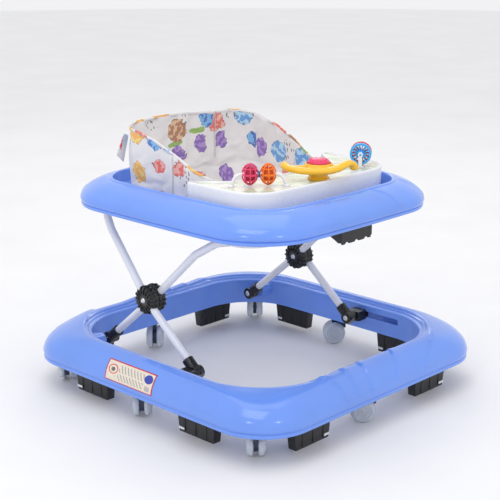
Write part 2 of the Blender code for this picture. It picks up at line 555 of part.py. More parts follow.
# square off what the slanted ends put below the feet
boolean(arch, box("arch_trim", (-0.2, -0.2, 0.40), (0.0, 0.0, foot), hidden=True))
BAR_LENGTH = (b3 - a3).length
for name, share, colour in (("bead_pink", 0.335, PINK), ("bead_orange", 0.665, ORANGE)):
    c = a3 + u3 * BAR_LENGTH * share + Vector((0, 0, ARCH_Z))
    bm = bmesh.new()
    bmesh.ops.create_uvsphere(bm, u_segments=16, v_segments=10, radius=1)
    bmesh.ops.scale(bm, vec=(0.0142, 0.0142, 0.0195), verts=bm.verts)
    bmesh.ops.rotate(bm, cent=(0, 0, 0), matrix=Matrix.Rotation(math.atan2(u.y, u.x) + 0.1963, 3, "Z"), verts=bm.verts)
    bmesh.ops.translate(bm, vec=c, verts=bm.verts)
    mesh = bpy.data.meshes.new(name)
    bm.to_mesh(mesh)
    bm.free()
    bead = add(name, mesh, colour)
    boolean(bead, rod(name + "_hole", c - u3 * 0.03, c + u3 * 0.03, 0.0040, hidden=True, sides=12))
c = a3 + u3 * BAR_LENGTH * 0.5 + Vector((0, 0, ARCH_Z))
spacer = rod("bead_spacer", c - u3 * 0.0012, c + u3 * 0.0012, 0.0056, NAVY, sides=14)
boolean(spacer, rod("spacer_hole", c - u3 * 0.02, c + u3 * 0.02, 0.0038, hidden=True, sides=12))

# ---------------------------------------------------------------- steering wheel
wx, wy = WHEEL_TOY
floor = TRAY_FLOOR_Z + CLEAR
column = turned("steering_column", [(0.0, 0.0), (0.0200, 0.0), (0.0200, 0.0030), (0.0165, 0.0100), (0.0165, 0.0145), (0.0060, 0.0145), (0.0060, 0.0230), (0.0, 0.0230)][::-1],
                Matrix.Translation((wx, wy, floor)), YELLOW, steps=20)
hand = Vector((0.694, -0.720, 0))
near = Vector((-0.720, -0.694, 0))
wheel = turned("steering_wheel", [(0.0068, 0.0), (0.0200, 0.0), (0.0255, 0.0050), (0.0255, 0.0125), (0.0235, 0.0150), (0.0225, 0.0150),
                                  (0.0225, 0.0110), (0.0068, 0.0110), (0.0068, 0.0)][::-1],
               Matrix.Translation((wx, wy, floor + 0.0150)), YELLOW, steps=20)
c = Vector((wx, wy, floor + 0.0150))
yoke = [(-0.0610, -0.0080, 0.0100), (-0.0600, 0.0080, 0.0075), (-0.0400, 0.0230, 0.0050), (-0.0100, 0.0290, 0.0040), (0.0200, 0.0270, 0.0050),
        (0.0400, 0.0150, 0.0090), (0.0540, -0.0020, 0.0130), (0.0640, -0.0080, 0.0080), (0.0660, -0.0080, 0.0000)]
path = rounded([c + hand * p + near * q + Vector((0, 0, h)) for p, q, h in yoke], 0.02, 2)
boolean(wheel, bar("yoke_bar", path, 0.0062, hidden=True, resolution=2), "UNION")
for k, (p0, q0, p1, q1) in enumerate(((-0.012, 0.012, -0.016, 0.028), (0.012, 0.012, 0.018, 0.027), (0.018, 0.004, 0.044, 0.010), (-0.018, 0.006, -0.046, 0.018))):
    boolean(wheel, rod("yoke_spoke_%d" % k, c + hand * p0 + near * q0 + Vector((0, 0, 0.0065)), c + hand * p1 + near * q1 + Vector((0, 0, 0.0065)), 0.0045, hidden=True, sides=10), "UNION")
boolean(wheel, rod("wheel_bore", (wx, wy, floor + 0.010), (wx, wy, floor + 0.0262), 0.0064, hidden=True, sides=20))
turned("horn_button", [(0.0, 0.0), (0.0218, 0.0), (0.0218, 0.0025), (0.0180, 0.0055), (0.0100, 0.0078), (0.0, 0.0085)][::-1],
       Matrix.Translation((wx, wy, floor + 0.0150 + 0.0110 + 0.0035)), PINK, steps=20)

# ---------------------------------------------------------------- spinning roller
axis = Vector((*ROLLER_AXIS, 0)).normalized()
c = Vector((*ROLLER_C, ROLLER_Z))
side_way = Vector((-axis.y, axis.x, 0))
bracket = box("roller_bracket", (-0.0190, -0.0055, floor), (0.0190, 0.0055, floor + 0.0030), WHITE)
turn = Matrix.Rotation(math.atan2(axis.y, axis.x), 4, "Z")
for sgn in (-1, 1):
    lo, hi = sorted((sgn * 0.0152, sgn * 0.0188))
    boolean(bracket, box("roller_arm_%d" % sgn, (lo, -0.0045, floor + 0.0010), (hi, 0.0045, ROLLER_Z + 0.0040), hidden=True), "UNION")
boolean(bracket, rod("roller_bore", (-0.03, 0, ROLLER_Z), (0.03, 0, ROLLER_Z), 0.0024, hidden=True, sides=12))
bracket = flatten(bracket, "roller_bracket", WHITE)
bracket.data.transform(Matrix.Translation((c.x, c.y, 0)) @ turn)
place = Matrix.Translation(c) @ axis.to_track_quat("Z", "Y").to_matrix().to_4x4()
turned("roller_disc_blue", [(0.0, -0.0200), (0.0020, -0.0200), (0.0020, -0.0146), (0.0060, -0.0146), (0.0060, -0.0130), (0.0195, -0.0120), (0.0205, -0.0105), (0.0205, -0.0045),
                            (0.0195, -0.0030), (0.0060, -0.0016), (0.0060, -0.0005), (0.0020, -0.0005), (0.0020, 0.0200), (0.0, 0.0200)],
       place, SKY, steps=24)
turned("roller_disc_red", [(0.0023, 0.0005), (0.0060, 0.0005), (0.0060, 0.0016), (0.0195, 0.0030), (0.0205, 0.0045), (0.0205, 0.0105), (0.0195, 0.0120), (0.0060, 0.0130),
                           (0.0060, 0.0146), (0.0023, 0.0146), (0.0023, 0.0005)],
       place, RED, steps=24)

# ================================================================ fabric seat
def rim_z(y):
    """Height of the fabric's top edge: low at the tray, high at the back."""
    knots = ((-0.08, 0.424), (-0.02, 0.424), (0.02, 0.440), (0.05, 0.462), (0.10, 0.487), (0.15, 0.502), (0.21, 0.511))
    for (y0, z0), (y1, z1) in zip(knots, knots[1:]):
        if y <= y1:
            return z0 + (z1 - z0) * max(0.0, (y - y0)) / (y1 - y0)
    return knots[-1][1]


CORNER_STEPS, SIDE_STEPS = 7, 6
seat = loft("fabric_seat", [
    plan(0.1680, -0.0770, 0.2010, 0.100, 0.045, rim_z), plan(0.1690, -0.0775, 0.2020, 0.100, 0.045, lambda y: 0.415 + (rim_z(y) - 0.415) * 0.5),
    plan(0.1660, -0.0780, 0.2020, 0.100, 0.050, 0.415), plan(0.1640, -0.0780, 0.2000, 0.100, 0.055, 0.390),
    plan(0.1520, -0.0720, 0.1900, 0.095, 0.065, 0.345), plan(0.1230, -0.0500, 0.1650, 0.085, 0.070, 0.300),
    plan(0.0750, -0.0100, 0.1250, 0.055, 0.055, 0.277)], cap_last=True, colour=FABRIC)
hollow(seat, 0.0030)
for side, s in (("left", -1), ("right", 1)):
    boolean(seat, rod("leg_hole_" + side, (s * 0.068, 0.020, 0.345), (s * 0.078, -0.125, 0.265), 0.046, hidden=True, sides=20))

for obj in list(parts.objects):
    obj.data.name = obj.name
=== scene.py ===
import math

import bmesh
import bpy
import numpy as np
from mathutils import Matrix, Vector, noise


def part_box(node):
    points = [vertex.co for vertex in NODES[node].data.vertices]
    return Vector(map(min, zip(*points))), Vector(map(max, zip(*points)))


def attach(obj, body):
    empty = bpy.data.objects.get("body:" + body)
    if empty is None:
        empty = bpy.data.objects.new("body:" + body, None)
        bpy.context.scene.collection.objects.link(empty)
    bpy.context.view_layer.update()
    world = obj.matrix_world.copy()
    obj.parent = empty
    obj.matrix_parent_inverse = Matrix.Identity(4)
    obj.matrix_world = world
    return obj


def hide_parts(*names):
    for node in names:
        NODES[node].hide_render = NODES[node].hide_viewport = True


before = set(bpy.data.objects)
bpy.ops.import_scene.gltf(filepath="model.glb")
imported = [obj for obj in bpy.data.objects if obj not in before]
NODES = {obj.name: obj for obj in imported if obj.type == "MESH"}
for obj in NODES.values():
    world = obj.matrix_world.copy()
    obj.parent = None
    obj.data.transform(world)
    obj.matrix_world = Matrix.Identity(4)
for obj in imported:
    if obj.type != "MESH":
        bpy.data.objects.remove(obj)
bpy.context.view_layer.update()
scene = bpy.context.scene

# ============================================================ camera
AZ, EL = math.radians(-46.22), math.radians(17.45)
BACK = Vector((math.sin(AZ) * math.cos(EL), -math.cos(AZ) * math.cos(EL), math.sin(EL)))
cam_data = bpy.data.cameras.new("camera")
cam = bpy.data.objects.new("camera", cam_data)
scene.collection.objects.link(cam)
cam.location = Vector((0, 0, 0.189)) + BACK * 2.4456
cam.rotation_mode = "QUATERNION"
cam.rotation_quaternion = (-BACK).to_track_quat("-Z", "Y")
cam_data.sensor_width = 36
cam_data.lens = 89.14
cam_data.shift_x, cam_data.shift_y = -0.0106, 0.079
cam_data.clip_start, cam_data.clip_end = 0.05, 30
scene.camera = cam


# ============================================================ mesh helpers
def link(name, mesh, body, mat=None, replaces=(), smooth=35):
    obj = bpy.data.objects.new(name, mesh)
    scene.collection.objects.link(obj)
    if mat is not None:
        mesh.materials.clear()
        mesh.materials.append(mat)
    if smooth:
        mesh.shade_smooth()
        mesh.set_sharp_from_angle(angle=math.radians(smooth))
    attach(obj, body)
    if replaces:
        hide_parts(*replaces)
    return obj


def to_mesh(bm, name, weld=0.0):
    if weld:
        bmesh.ops.remove_doubles(bm, verts=bm.verts, dist=weld)
    bmesh.ops.recalc_face_normals(bm, faces=bm.faces)
    mesh = bpy.data.meshes.new(name)
    bm.to_mesh(mesh)
    bm.free()
    return mesh


def bm_loft(bm, loops, close=False, cap_first=False, cap_last=False):
    rings = [[bm.verts.new(p) for p in loop] for loop in loops]
    n = len(rings[0])
    pairs = list(zip(rings, rings[1:])) + ([(rings[-1], rings[0])] if close else [])
    for a, b in pairs:
        for i in range(n):
            j = (i + 1) % n
            bm.faces.new((a[i], a[j], b[j], b[i]))
    if cap_first:
        bm.faces.new(rings[0][::-1])
    if cap_last:
        bm.faces.new(rings[-1])
    return rings


def bm_turn(bm, profile, matrix, steps=48):
    """A (radius, height) profile turned about local Z; ends on the axis close to a point."""
    loops = []
    for r, z in profile:
        loops.append([matrix @ Vector((max(r, 1e-5) * math.cos(2 * math.pi * k / steps), max(r, 1e-5) * math.sin(2 * math.pi * k / steps), z)) for k in range(steps)])
    first, last = profile[0][0] <= 1e-4, profile[-1][0] <= 1e-4
    closed = not first and not last
    bm_loft(bm, loops, close=closed, cap_first=first, cap_last=last)


def bm_tube(bm, points, radius, sides=16, cap=True, squash=None):
    """A tube along points; radius is a number or one number per point. squash=(normal, factor) flattens its section."""
    pts = [Vector(p) for p in points]
    n = len(pts)
    rad = radius if isinstance(radius, (list, tuple)) else [radius] * n
    tangents = []
    for i in range(n):
        a, b = pts[max(0, i - 1)], pts[min(n - 1, i + 1)]
        tangents.append((b - a).normalized())
    ref = Vector((0, 0, 1)) if abs(tangents[0].z) < 0.9 else Vector((1, 0, 0))
    u = (ref - tangents[0] * ref.dot(tangents[0])).normalized()
    loops = []
    for i in range(n):
        t = tangents[i]
        u = (u - t * u.dot(t)).normalized()
        v = t.cross(u)
        loop = []
        for k in range(sides):
            a = 2 * math.pi * k / sides
            off = (u * math.cos(a) + v * math.sin(a)) * rad[i]
            if squash:
                nrm, f = squash
                off = off - nrm * off.dot(nrm) * (1 - f)
            loop.append(pts[i] + off)
        loops.append(loop)
    bm_loft(bm, loops, cap_first=cap, cap_last=cap)


def bm_box(bm, low, high, matrix=None, bevel=0.0008, taper=None):
    made = bmesh.ops.create_cube(bm, size=1)["verts"]
    lo, hi = Vector(low), Vector(high)
    for v in made:
        p = Vector(((lo[i] + hi[i]) / 2 + v.co[i] * (hi[i] - lo[i]) for i in range(3)))
        if taper:
            p = taper(p)
        v.co = matrix @ p if matrix else p
    edges = list({e for v in made for e in v.link_edges})
    if bevel:
        bmesh.ops.bevel(bm, geom=edges, offset=bevel, segments=2, profile=0.6, affect="EDGES")


def spline(points, steps=6, closed=False):
    """Catmull-Rom through points."""
    p = [Vector(q) for q in points]
    n = len(p)
    out = []
    last = n if closed else n - 1
    for i in range(last):
        a = p[(i - 1) % n] if closed or i else p[0] * 2 - p[1]
        b, c = p[i], p[(i + 1) % n]
        d = p[(i + 2) % n] if closed or i + 2 < n else p[-1] * 2 - p[-2]
        for k in range(steps):
            t = k / steps
            out.append(0.5 * ((2 * b) + (c - a) * t + (2 * a - 5 * b + 4 * c - d) * t * t + (3 * b - a - 3 * c + d) * t ** 3))
    if not closed:
        out.append(p[-1])
    return out


def rounded(points, radius, steps=4):
    out = [Vector(points[0])]
    for i in range(1, len(points) - 1):
        p, a, b = Vector(points[i]), Vector(points[i - 1]), Vector(points[i + 1])
        u, v = (a - p), (b - p)
        bend = math.pi - u.angle(v)
        reach = min(radius * math.tan(bend / 2), 0.48 * u.length, 0.48 * v.length)
        s, e = p + u.normalized() * reach, p + v.normalized() * reach
        for k in range(steps + 1):
            t = k / steps
            out.append((1 - t) ** 2 * s + 2 * t * (1 - t) * p + t ** 2 * e)
    out.append(Vector(points[-1]))
    return out


def modified(obj, *mods):
    """Applies modifiers given as (type, {settings}) to the mesh."""
    for kind, settings in mods:
        m = obj.modifiers.new(kind.lower(), kind)
        for k, v in settings.items():
            setattr(m, k, v)
    bpy.context.view_layer.update()
    graph = bpy.context.evaluated_depsgraph_get()
    mesh = bpy.data.meshes.new_from_object(obj.evaluated_get(graph))
    obj.modifiers.clear()
    old = obj.data
    obj.data = mesh
    bpy.data.meshes.remove(old)
    return obj


def smoothstep(a, b, x):
    t = min(1.0, max(0.0, (x - a) / (b - a)))
    return t * t * (3 - 2 * t)


# ============================================================ materials
class Mat:
    """A Principled material with the small node helpers used below."""

    def __init__(self, name):
        self.m = bpy.data.materials.new(name)
        self.m.use_nodes = True
        self.t = self.m.node_tree
        self.b = self.t.nodes["Principled BSDF"]

    def node(self, kind, **props):
        n = self.t.nodes.new(kind)
        for k, v in props.items():
            if k.startswith("in_"):
                n.inputs[k[3:].replace("_", " ")].default_value = v
            else:
                setattr(n, k, v)
        return n

    def link(self, a, b):
        self.t.links.new(a, b)

    def coords(self, which="Object", scale=(1, 1, 1), loc=(0, 0, 0), rot=(0, 0, 0)):
        tc = self.node("ShaderNodeTexCoord")
        mp = self.node("ShaderNodeMapping")
        mp.inputs["Scale"].default_value = scale
        mp.inputs["Location"].default_value = loc
        mp.inputs["Rotation"].default_value = rot
        self.link(tc.outputs[which], mp.inputs["Vector"])
        return mp.outputs["Vector"]

    def noise(self, vec, scale, detail=3.0, rough=0.55, dim="3D"):
        n = self.node("ShaderNodeTexNoise", noise_dimensions=dim)
        n.inputs["Scale"].default_value = scale
        n.inputs["Detail"].default_value = detail
        n.inputs["Roughness"].default_value = rough
        self.link(vec, n.inputs["Vector"])
        return n

    def ramp(self, fac, stops, interp="LINEAR"):
        r = self.node("ShaderNodeValToRGB")
        r.color_ramp.interpolation = interp
        e = r.color_ramp.elements
        while len(e) < len(stops):
            e.new(0.5)
        for el, (pos, c) in zip(e, stops):
            el.position = pos
            el.color = (*c, 1) if len(c) == 3 else c
        self.link(fac, r.inputs["Fac"])
        return r.outputs["Color"]

    def mix(self, fac, a, b, kind="MIX"):
        n = self.node("ShaderNodeMix", data_type="RGBA", blend_type=kind)
        for value, index in ((fac, 0), (a, 6), (b, 7)):
            if isinstance(value, bpy.types.NodeSocket):
                self.link(value, n.inputs[index])
            elif index == 0:
                n.inputs[0].default_value = value
            else:
                n.inputs[index].default_value = (*value, 1)
        return n.outputs[2]

    def math(self, op, a, b=0.0, c=None, clamp=False):
        n = self.node("ShaderNodeMath", operation=op, use_clamp=clamp)
        for value, index in ((a, 0), (b, 1), (c, 2)):
            if value is None:
                continue
            if isinstance(value, bpy.types.NodeSocket):
                self.link(value, n.inputs[index])
            else:
                n.inputs[index].default_value = value
        return n.outputs[0]

    def remap(self, v, a, b, c, d):
        n = self.node("ShaderNodeMapRange")
        self.link(v, n.inputs[0])
        for i, x in enumerate((a, b, c, d)):
            n.inputs[i + 1].default_value = x
        return n.outputs[0]

    def bump(self, height, strength=0.2, distance=0.0004, normal=None):
        n = self.node("ShaderNodeBump")
        n.inputs["Strength"].default_value = strength
        n.inputs["Distance"].default_value = distance
        self.link(height, n.inputs["Height"])
        if normal is not None:
            self.link(normal, n.inputs["Normal"])
        return n.outputs["Normal"]

    def set(self, **values):
        for k, v in values.items():
            self.b.inputs[k.replace("_", " ")].default_value = v
        return self


def scaled(rgb, f):
    return tuple(min(1.0, max(0.0, c * f)) for c in rgb)


def plastic(name, rgb, rough=0.22, var=0.07, tint=0.06, peel=0.03, peel_scale=70, scuff=0.15, edge_wear_and_highlight=0.0, coat=0.0, trans=0.0, sss=0.0, metal=0.0, grain=0.0):
    """Moulded or painted plastic: slow colour drift, flow marks, orange peel, fine scuffs, paler convex edges that are
    partly rubbed and partly painted highlight.
    """
    k = Mat(name)
    vec = k.coords()
    drift = k.noise(vec, 7.0, 4.0)
    col = k.ramp(drift.outputs["Fac"], ((0.32, scaled(rgb, 1 - tint)), (0.5, rgb), (0.7, scaled(rgb, 1 + tint * 0.8))))
    speck = k.noise(vec, 420.0, 2.0)
    col = k.mix(k.remap(speck.outputs["Fac"], 0.62, 0.80, 0.0, 0.22), col, scaled(rgb, 0.86))
    # paler colour on convex edges: partly rubbed, partly painted highlight
    if edge_wear_and_highlight:
        geo = k.node("ShaderNodeNewGeometry")
        worn_and_highlit = k.remap(geo.outputs["Pointiness"], 0.53, 0.62, 0.0, 1.0)
        patch = k.noise(vec, 130.0, 5.0, 0.7)
        worn_and_highlit = k.math("MULTIPLY", worn_and_highlit, k.remap(patch.outputs["Fac"], 0.42, 0.62, 0.0, edge_wear_and_highlight), clamp=True)
        col = k.mix(worn_and_highlit, col, tuple(0.55 * c + 0.42 for c in rgb))
    k.link(col, k.b.inputs["Base Color"])
    smear = k.noise(vec, 26.0, 6.0, 0.6)
    lines = k.noise(k.coords(scale=(30, 420, 120), rot=(0.2, 0.5, 0.7)), 3.0, 3.0)
    mixed = k.math("ADD", k.math("MULTIPLY", smear.outputs["Fac"], 1 - scuff), k.math("MULTIPLY", lines.outputs["Fac"], scuff))
    k.link(k.remap(mixed, 0.3, 0.7, max(0.03, rough - var), rough + var), k.b.inputs["Roughness"])
    h = k.noise(vec, peel_scale, 2.0)
    normal = k.bump(h.outputs["Fac"], peel, 0.002)
    if grain:
        g = k.noise(vec, 1500.0, 2.0)
        normal = k.bump(g.outputs["Fac"], grain, 0.0003, normal)
    k.link(normal, k.b.inputs["Normal"])
    k.set(Metallic=metal, Coat_Weight=coat, Coat_Roughness=0.06, Transmission_Weight=trans)
    if sss:
        k.set(Subsurface_Weight=sss, Subsurface_Scale=0.004)
    return k.m


BLUE = (0.155, 0.315, 0.875)
M = {
    "blue": plastic("ring_blue", BLUE, 0.20, 0.05, 0.05, 0.045, 34, coat=0.35),
    "rubber": plastic("brake_rubber", (0.014, 0.014, 0.015), 0.46, 0.08, 0.12, 0.06, 140, edge_wear_and_highlight=0.06, grain=0.10),
    "black": plastic("black_plastic", (0.012, 0.012, 0.013), 0.28, 0.08, 0.15, 0.06, 120, edge_wear_and_highlight=0.12),
    "matt_black": plastic("adjuster_black", (0.014, 0.014, 0.015), 0.40, 0.08, 0.12, 0.06, 140, edge_wear_and_highlight=0.06, grain=0.10),
    "paint": plastic("tube_paint", (0.76, 0.78, 0.86), 0.24, 0.06, 0.03, 0.05, 160, coat=0.5),
    "steel": plastic("rivet_steel", (0.66, 0.67, 0.69), 0.26, 0.08, 0.05, 0.03, 200, scuff=0.6, metal=1.0),
    "navy": plastic("fork_navy", (0.020, 0.035, 0.085), 0.30, 0.06, 0.10, 0.04, 150, edge_wear_and_highlight=0.1),
    "white": plastic("toy_white", (0.84, 0.84, 0.86), 0.26, 0.06, 0.02, 0.04, 90, sss=0.05),
    "yellow": plastic("toy_yellow", (0.93, 0.52, 0.02), 0.24, 0.06, 0.06, 0.05, 80, sss=0.08, coat=0.2),
    "pink": plastic("toy_pink", (0.80, 0.05, 0.15), 0.30, 0.08, 0.08, 0.05, 90, sss=0.06),
    "orange": plastic("toy_orange", (0.95, 0.20, 0.008), 0.28, 0.06, 0.06, 0.05, 90, sss=0.06),
    # darker copies of the bead colours for the inner bodies: painted shade seen through the cage holes
    "pink_inner_shade": plastic("toy_pink_inner_shade", (0.42, 0.012, 0.06), 0.38, 0.08, 0.10, 0.05, 90),
    "orange_inner_shade": plastic("toy_orange_inner_shade", (0.66, 0.085, 0.004), 0.38, 0.08, 0.10, 0.05, 90),
    "red": plastic("toy_red", (0.72, 0.02, 0.04), 0.25, 0.06, 0.07, 0.05, 90, sss=0.05),
    "sky": plastic("toy_sky", (0.05, 0.42, 0.85), 0.25, 0.06, 0.07, 0.05, 90, sss=0.05),
    "sleeve": plastic("toy_navy", (0.02, 0.03, 0.28), 0.35, 0.06, 0.08, 0.05, 90),
}


def wheel_material():
    k = Mat("wheel_clear")
    vec = k.coords()
    n = k.noise(vec, 40.0, 4.0)
    col = k.ramp(n.outputs["Fac"], ((0.3, (0.66, 0.72, 0.82)), (0.6, (0.80, 0.85, 0.93)), (0.8, (0.86, 0.90, 0.96))))
    dust = k.noise(vec, 260.0, 5.0, 0.7)
    col = k.mix(k.remap(dust.outputs["Fac"], 0.55, 0.80, 0.0, 0.10), col, (0.60, 0.62, 0.66))
    k.link(col, k.b.inputs["Base Color"])
    k.link(k.remap(dust.outputs["Fac"], 0.3, 0.7, 0.18, 0.26), k.b.inputs["Roughness"])
    k.link(k.bump(n.outputs["Fac"], 0.05, 0.001), k.b.inputs["Normal"])
    k.set(Transmission_Weight=0.35, IOR=1.42, Subsurface_Weight=0.12, Subsurface_Scale=0.006)
    return k.m


def tray_material():
    """White plastic with a pale leafy print on the sunken top only."""
    k = Mat("tray_white_print")
    vec = k.coords()
    n = k.noise(vec, 9.0, 4.0)
    base = k.ramp(n.outputs["Fac"], ((0.3, (0.80, 0.81, 0.84)), (0.7, (0.87, 0.88, 0.90))))
    flat = k.coords(scale=(1, 1, 0))
    warp = k.noise(flat, 16.0, 3.0)
    bent = k.mix(0.045, flat, warp.outputs["Color"], "LINEAR_LIGHT")
    field = k.noise(bent, 13.0, 4.0, 0.5)
    ground = k.ramp(field.outputs["Fac"], ((0.30, (0.50, 0.68, 0.46)), (0.42, (0.78, 0.82, 0.62)), (0.52, (0.86, 0.80, 0.68)), (0.62, (0.80, 0.84, 0.86)), (0.74, (0.52, 0.70, 0.84))))
    cells = k.node("ShaderNodeTexVoronoi", voronoi_dimensions="2D", feature="F1")
    cells.inputs["Scale"].default_value = 27.0
    k.link(bent, cells.inputs["Vector"])
    spot = k.remap(cells.outputs["Distance"], 0.20, 0.26, 1.0, 0.0)
    tone = k.ramp(cells.outputs["Color"], ((0.2, (0.25, 0.52, 0.20)), (0.4, (0.86, 0.52, 0.20)), (0.55, (0.55, 0.30, 0.62)), (0.7, (0.20, 0.48, 0.75)), (0.85, (0.80, 0.24, 0.22))), "CONSTANT")
    art = k.mix(k.math("MULTIPLY", spot, 0.55), ground, tone)
    swirl = k.node("ShaderNodeTexWave", wave_type="BANDS", bands_direction="DIAGONAL")
    swirl.inputs["Scale"].default_value = 7.0
    swirl.inputs["Distortion"].default_value = 9.0
    swirl.inputs["Detail"].default_value = 2.0
    k.link(flat, swirl.inputs["Vector"])
    art = k.mix(k.remap(swirl.outputs["Fac"], 0.86, 0.94, 0.0, 0.5), art, (0.22, 0.50, 0.20))
    geo = k.node("ShaderNodeNewGeometry")
    sep = k.node("ShaderNodeSeparateXYZ")
    k.link(geo.outputs["Normal"], sep.inputs[0])
    pos = k.node("ShaderNodeSeparateXYZ")
    k.link(k.coords(), pos.inputs[0])
    up = k.math("GREATER_THAN", sep.outputs["Z"], 0.98)
    low = k.math("LESS_THAN", pos.outputs["Z"], 0.43685)
    high = k.math("GREATER_THAN", pos.outputs["Z"], 0.4350)
    mask = k.math("MULTIPLY", k.math("MULTIPLY", up, low), high)
    col = k.mix(k.math("MULTIPLY", mask, 0.85), base, k.mix(0.35, art, scaled((0.46, 0.50, 0.38), 1.0)))
    k.link(col, k.b.inputs["Base Color"])
    sm = k.noise(vec, 30.0, 5.0)
    k.link(k.remap(sm.outputs["Fac"], 0.3, 0.7, 0.20, 0.34), k.b.inputs["Roughness"])
    k.link(k.bump(k.noise(vec, 60.0, 2.0).outputs["Fac"], 0.04, 0.002), k.b.inputs["Normal"])
    return k.m


def fabric_material():
    """Plain-woven cotton, off-white, with a scattered print of leaves, rosettes, dots and short dashes."""
    k = Mat("seat_fabric_print")
    tc = k.node("ShaderNodeTexCoord")
    uv = tc.outputs["UV"]

    def shifted(sx, sy, rot=0.0, dx=0.0, dy=0.0):
        mp = k.node("ShaderNodeMapping")
        mp.inputs["Scale"].default_value = (sx, sy, 1)
        mp.inputs["Rotation"].default_value = (0, 0, rot)
        mp.inputs["Location"].default_value = (dx, dy, 0)
        k.link(uv, mp.inputs["Vector"])
        return mp.outputs["Vector"]

    def cells(vec, scale, rand=0.75):
        v = k.node("ShaderNodeTexVoronoi", voronoi_dimensions="2D", feature="F1")
        v.inputs["Scale"].default_value = scale
        v.inputs["Randomness"].default_value = rand
        k.link(vec, v.inputs["Vector"])
        s = k.node("ShaderNodeSeparateColor")
        k.link(v.outputs["Color"], s.inputs[0])
        return v, s

    n = k.noise(k.coords("Object"), 18.0, 4.0)
    ground = k.ramp(n.outputs["Fac"], ((0.3, (0.79, 0.775, 0.775)), (0.55, (0.85, 0.84, 0.835)), (0.75, (0.88, 0.87, 0.865))))
    warp = k.noise(uv, 42.0, 2.0, dim="2D")

    def bent(vec, amount):
        return k.mix(amount, vec, warp.outputs["Color"], "LINEAR_LIGHT")

    # rosettes: a ragged round body with a second tone inside and a dark broken rim
    body_vec = bent(shifted(1, 1), 0.012)
    v, s = cells(body_vec, 16.0, 0.55)
    ragged = k.math("ADD", v.outputs["Distance"], k.math("MULTIPLY", k.math("SUBTRACT", k.noise(uv, 150.0, 3.0, dim="2D").outputs["Fac"], 0.5), 0.10))
    size = k.remap(s.outputs["Green"], 0.0, 1.0, 0.24, 0.38)
    pick = k.math("GREATER_THAN", s.outputs["Blue"], 0.16)
    inside = k.math("MULTIPLY", k.math("LESS_THAN", ragged, size), pick)
    tone = k.ramp(s.outputs["Red"], ((0.0, (0.16, 0.47, 0.80)), (0.20, (0.86, 0.10, 0.07)), (0.38, (0.93, 0.44, 0.06)), (0.52, (0.22, 0.10, 0.46)), (0.64, (0.40, 0.17, 0.07)), (0.80, (0.10, 0.34, 0.74)), (0.92, (0.80, 0.16, 0.12))), "CONSTANT")
    second = k.ramp(s.outputs["Red"], ((0.0, (0.03, 0.12, 0.52)), (0.20, (0.90, 0.42, 0.36)), (0.38, (0.95, 0.66, 0.18)), (0.52, (0.42, 0.26, 0.66)), (0.64, (0.78, 0.50, 0.28)), (0.80, (0.46, 0.72, 0.90)), (0.92, (0.90, 0.50, 0.40))), "CONSTANT")
    petals = k.noise(uv, 95.0, 1.0, dim="2D")
    lobes = k.math("GREATER_THAN", petals.outputs["Fac"], 0.53)
    motif = k.mix(lobes, tone, second)
    rim = k.math("MULTIPLY", k.math("GREATER_THAN", ragged, k.math("SUBTRACT", size, 0.022)), k.math("GREATER_THAN", k.noise(uv, 220.0, 1.0, dim="2D").outputs["Fac"], 0.46))
    motif = k.mix(k.math("MULTIPLY", rim, 0.55), motif, (0.10, 0.05, 0.05))
    col = k.mix(k.math("MULTIPLY", inside, 0.92), ground, motif)
    # long green leaves
    v2, s2 = cells(bent(shifted(0.30, 1.0, 0.65, 0.31, 0.17), 0.006), 21.0, 0.9)
    leaf = k.math("MULTIPLY", k.math("LESS_THAN", v2.outputs["Distance"], 0.125), k.math("GREATER_THAN", s2.outputs["Red"], 0.60))
    leaf = k.math("MULTIPLY", leaf, k.math("SUBTRACT", 1.0, inside))
    vein = k.math("GREATER_THAN", k.noise(uv, 260.0, 1.0, dim="2D").outputs["Fac"], 0.56)
    col = k.mix(k.math("MULTIPLY", leaf, 0.9), col, k.mix(vein, (0.30, 0.52, 0.06), (0.16, 0.34, 0.05)))
    # patches of short dark dashes
    v3, s3 = cells(bent(shifted(1.0, 0.42, -0.5), 0.004), 190.0, 0.9)
    v4, s4 = cells(shifted(1, 1, 0, 0.4, 0.7), 9.5, 0.9)
    field = k.math("MULTIPLY", k.math("LESS_THAN", v4.outputs["Distance"], 0.20), k.math("GREATER_THAN", s4.outputs["Red"], 0.35))
    dash = k.math("MULTIPLY", k.math("LESS_THAN", v3.outputs["Distance"], 0.24), k.math("GREATER_THAN", s3.outputs["Green"], 0.45))
    dash = k.math("MULTIPLY", k.math("MULTIPLY", dash, field), k.math("SUBTRACT", 1.0, k.math("MAXIMUM", inside, leaf)))
    col = k.mix(k.math("MULTIPLY", dash, 0.85), col, (0.03, 0.03, 0.035))
    geo = k.node("ShaderNodeNewGeometry")
    # threads: ridges as bumps, and painted shade darkening the gaps between threads
    wu = k.node("ShaderNodeTexWave", wave_type="BANDS", bands_direction="X")
    wv = k.node("ShaderNodeTexWave", wave_type="BANDS", bands_direction="Y")
    for w in (wu, wv):
        w.inputs["Scale"].default_value = 340.0
        w.inputs["Distortion"].default_value = 0.4
        k.link(uv, w.inputs["Vector"])
    weave_and_gap_shade = k.math("MAXIMUM", wu.outputs["Fac"], wv.outputs["Fac"])
    slub = k.noise(shifted(1, 9), 120.0, 3.0, dim="2D")
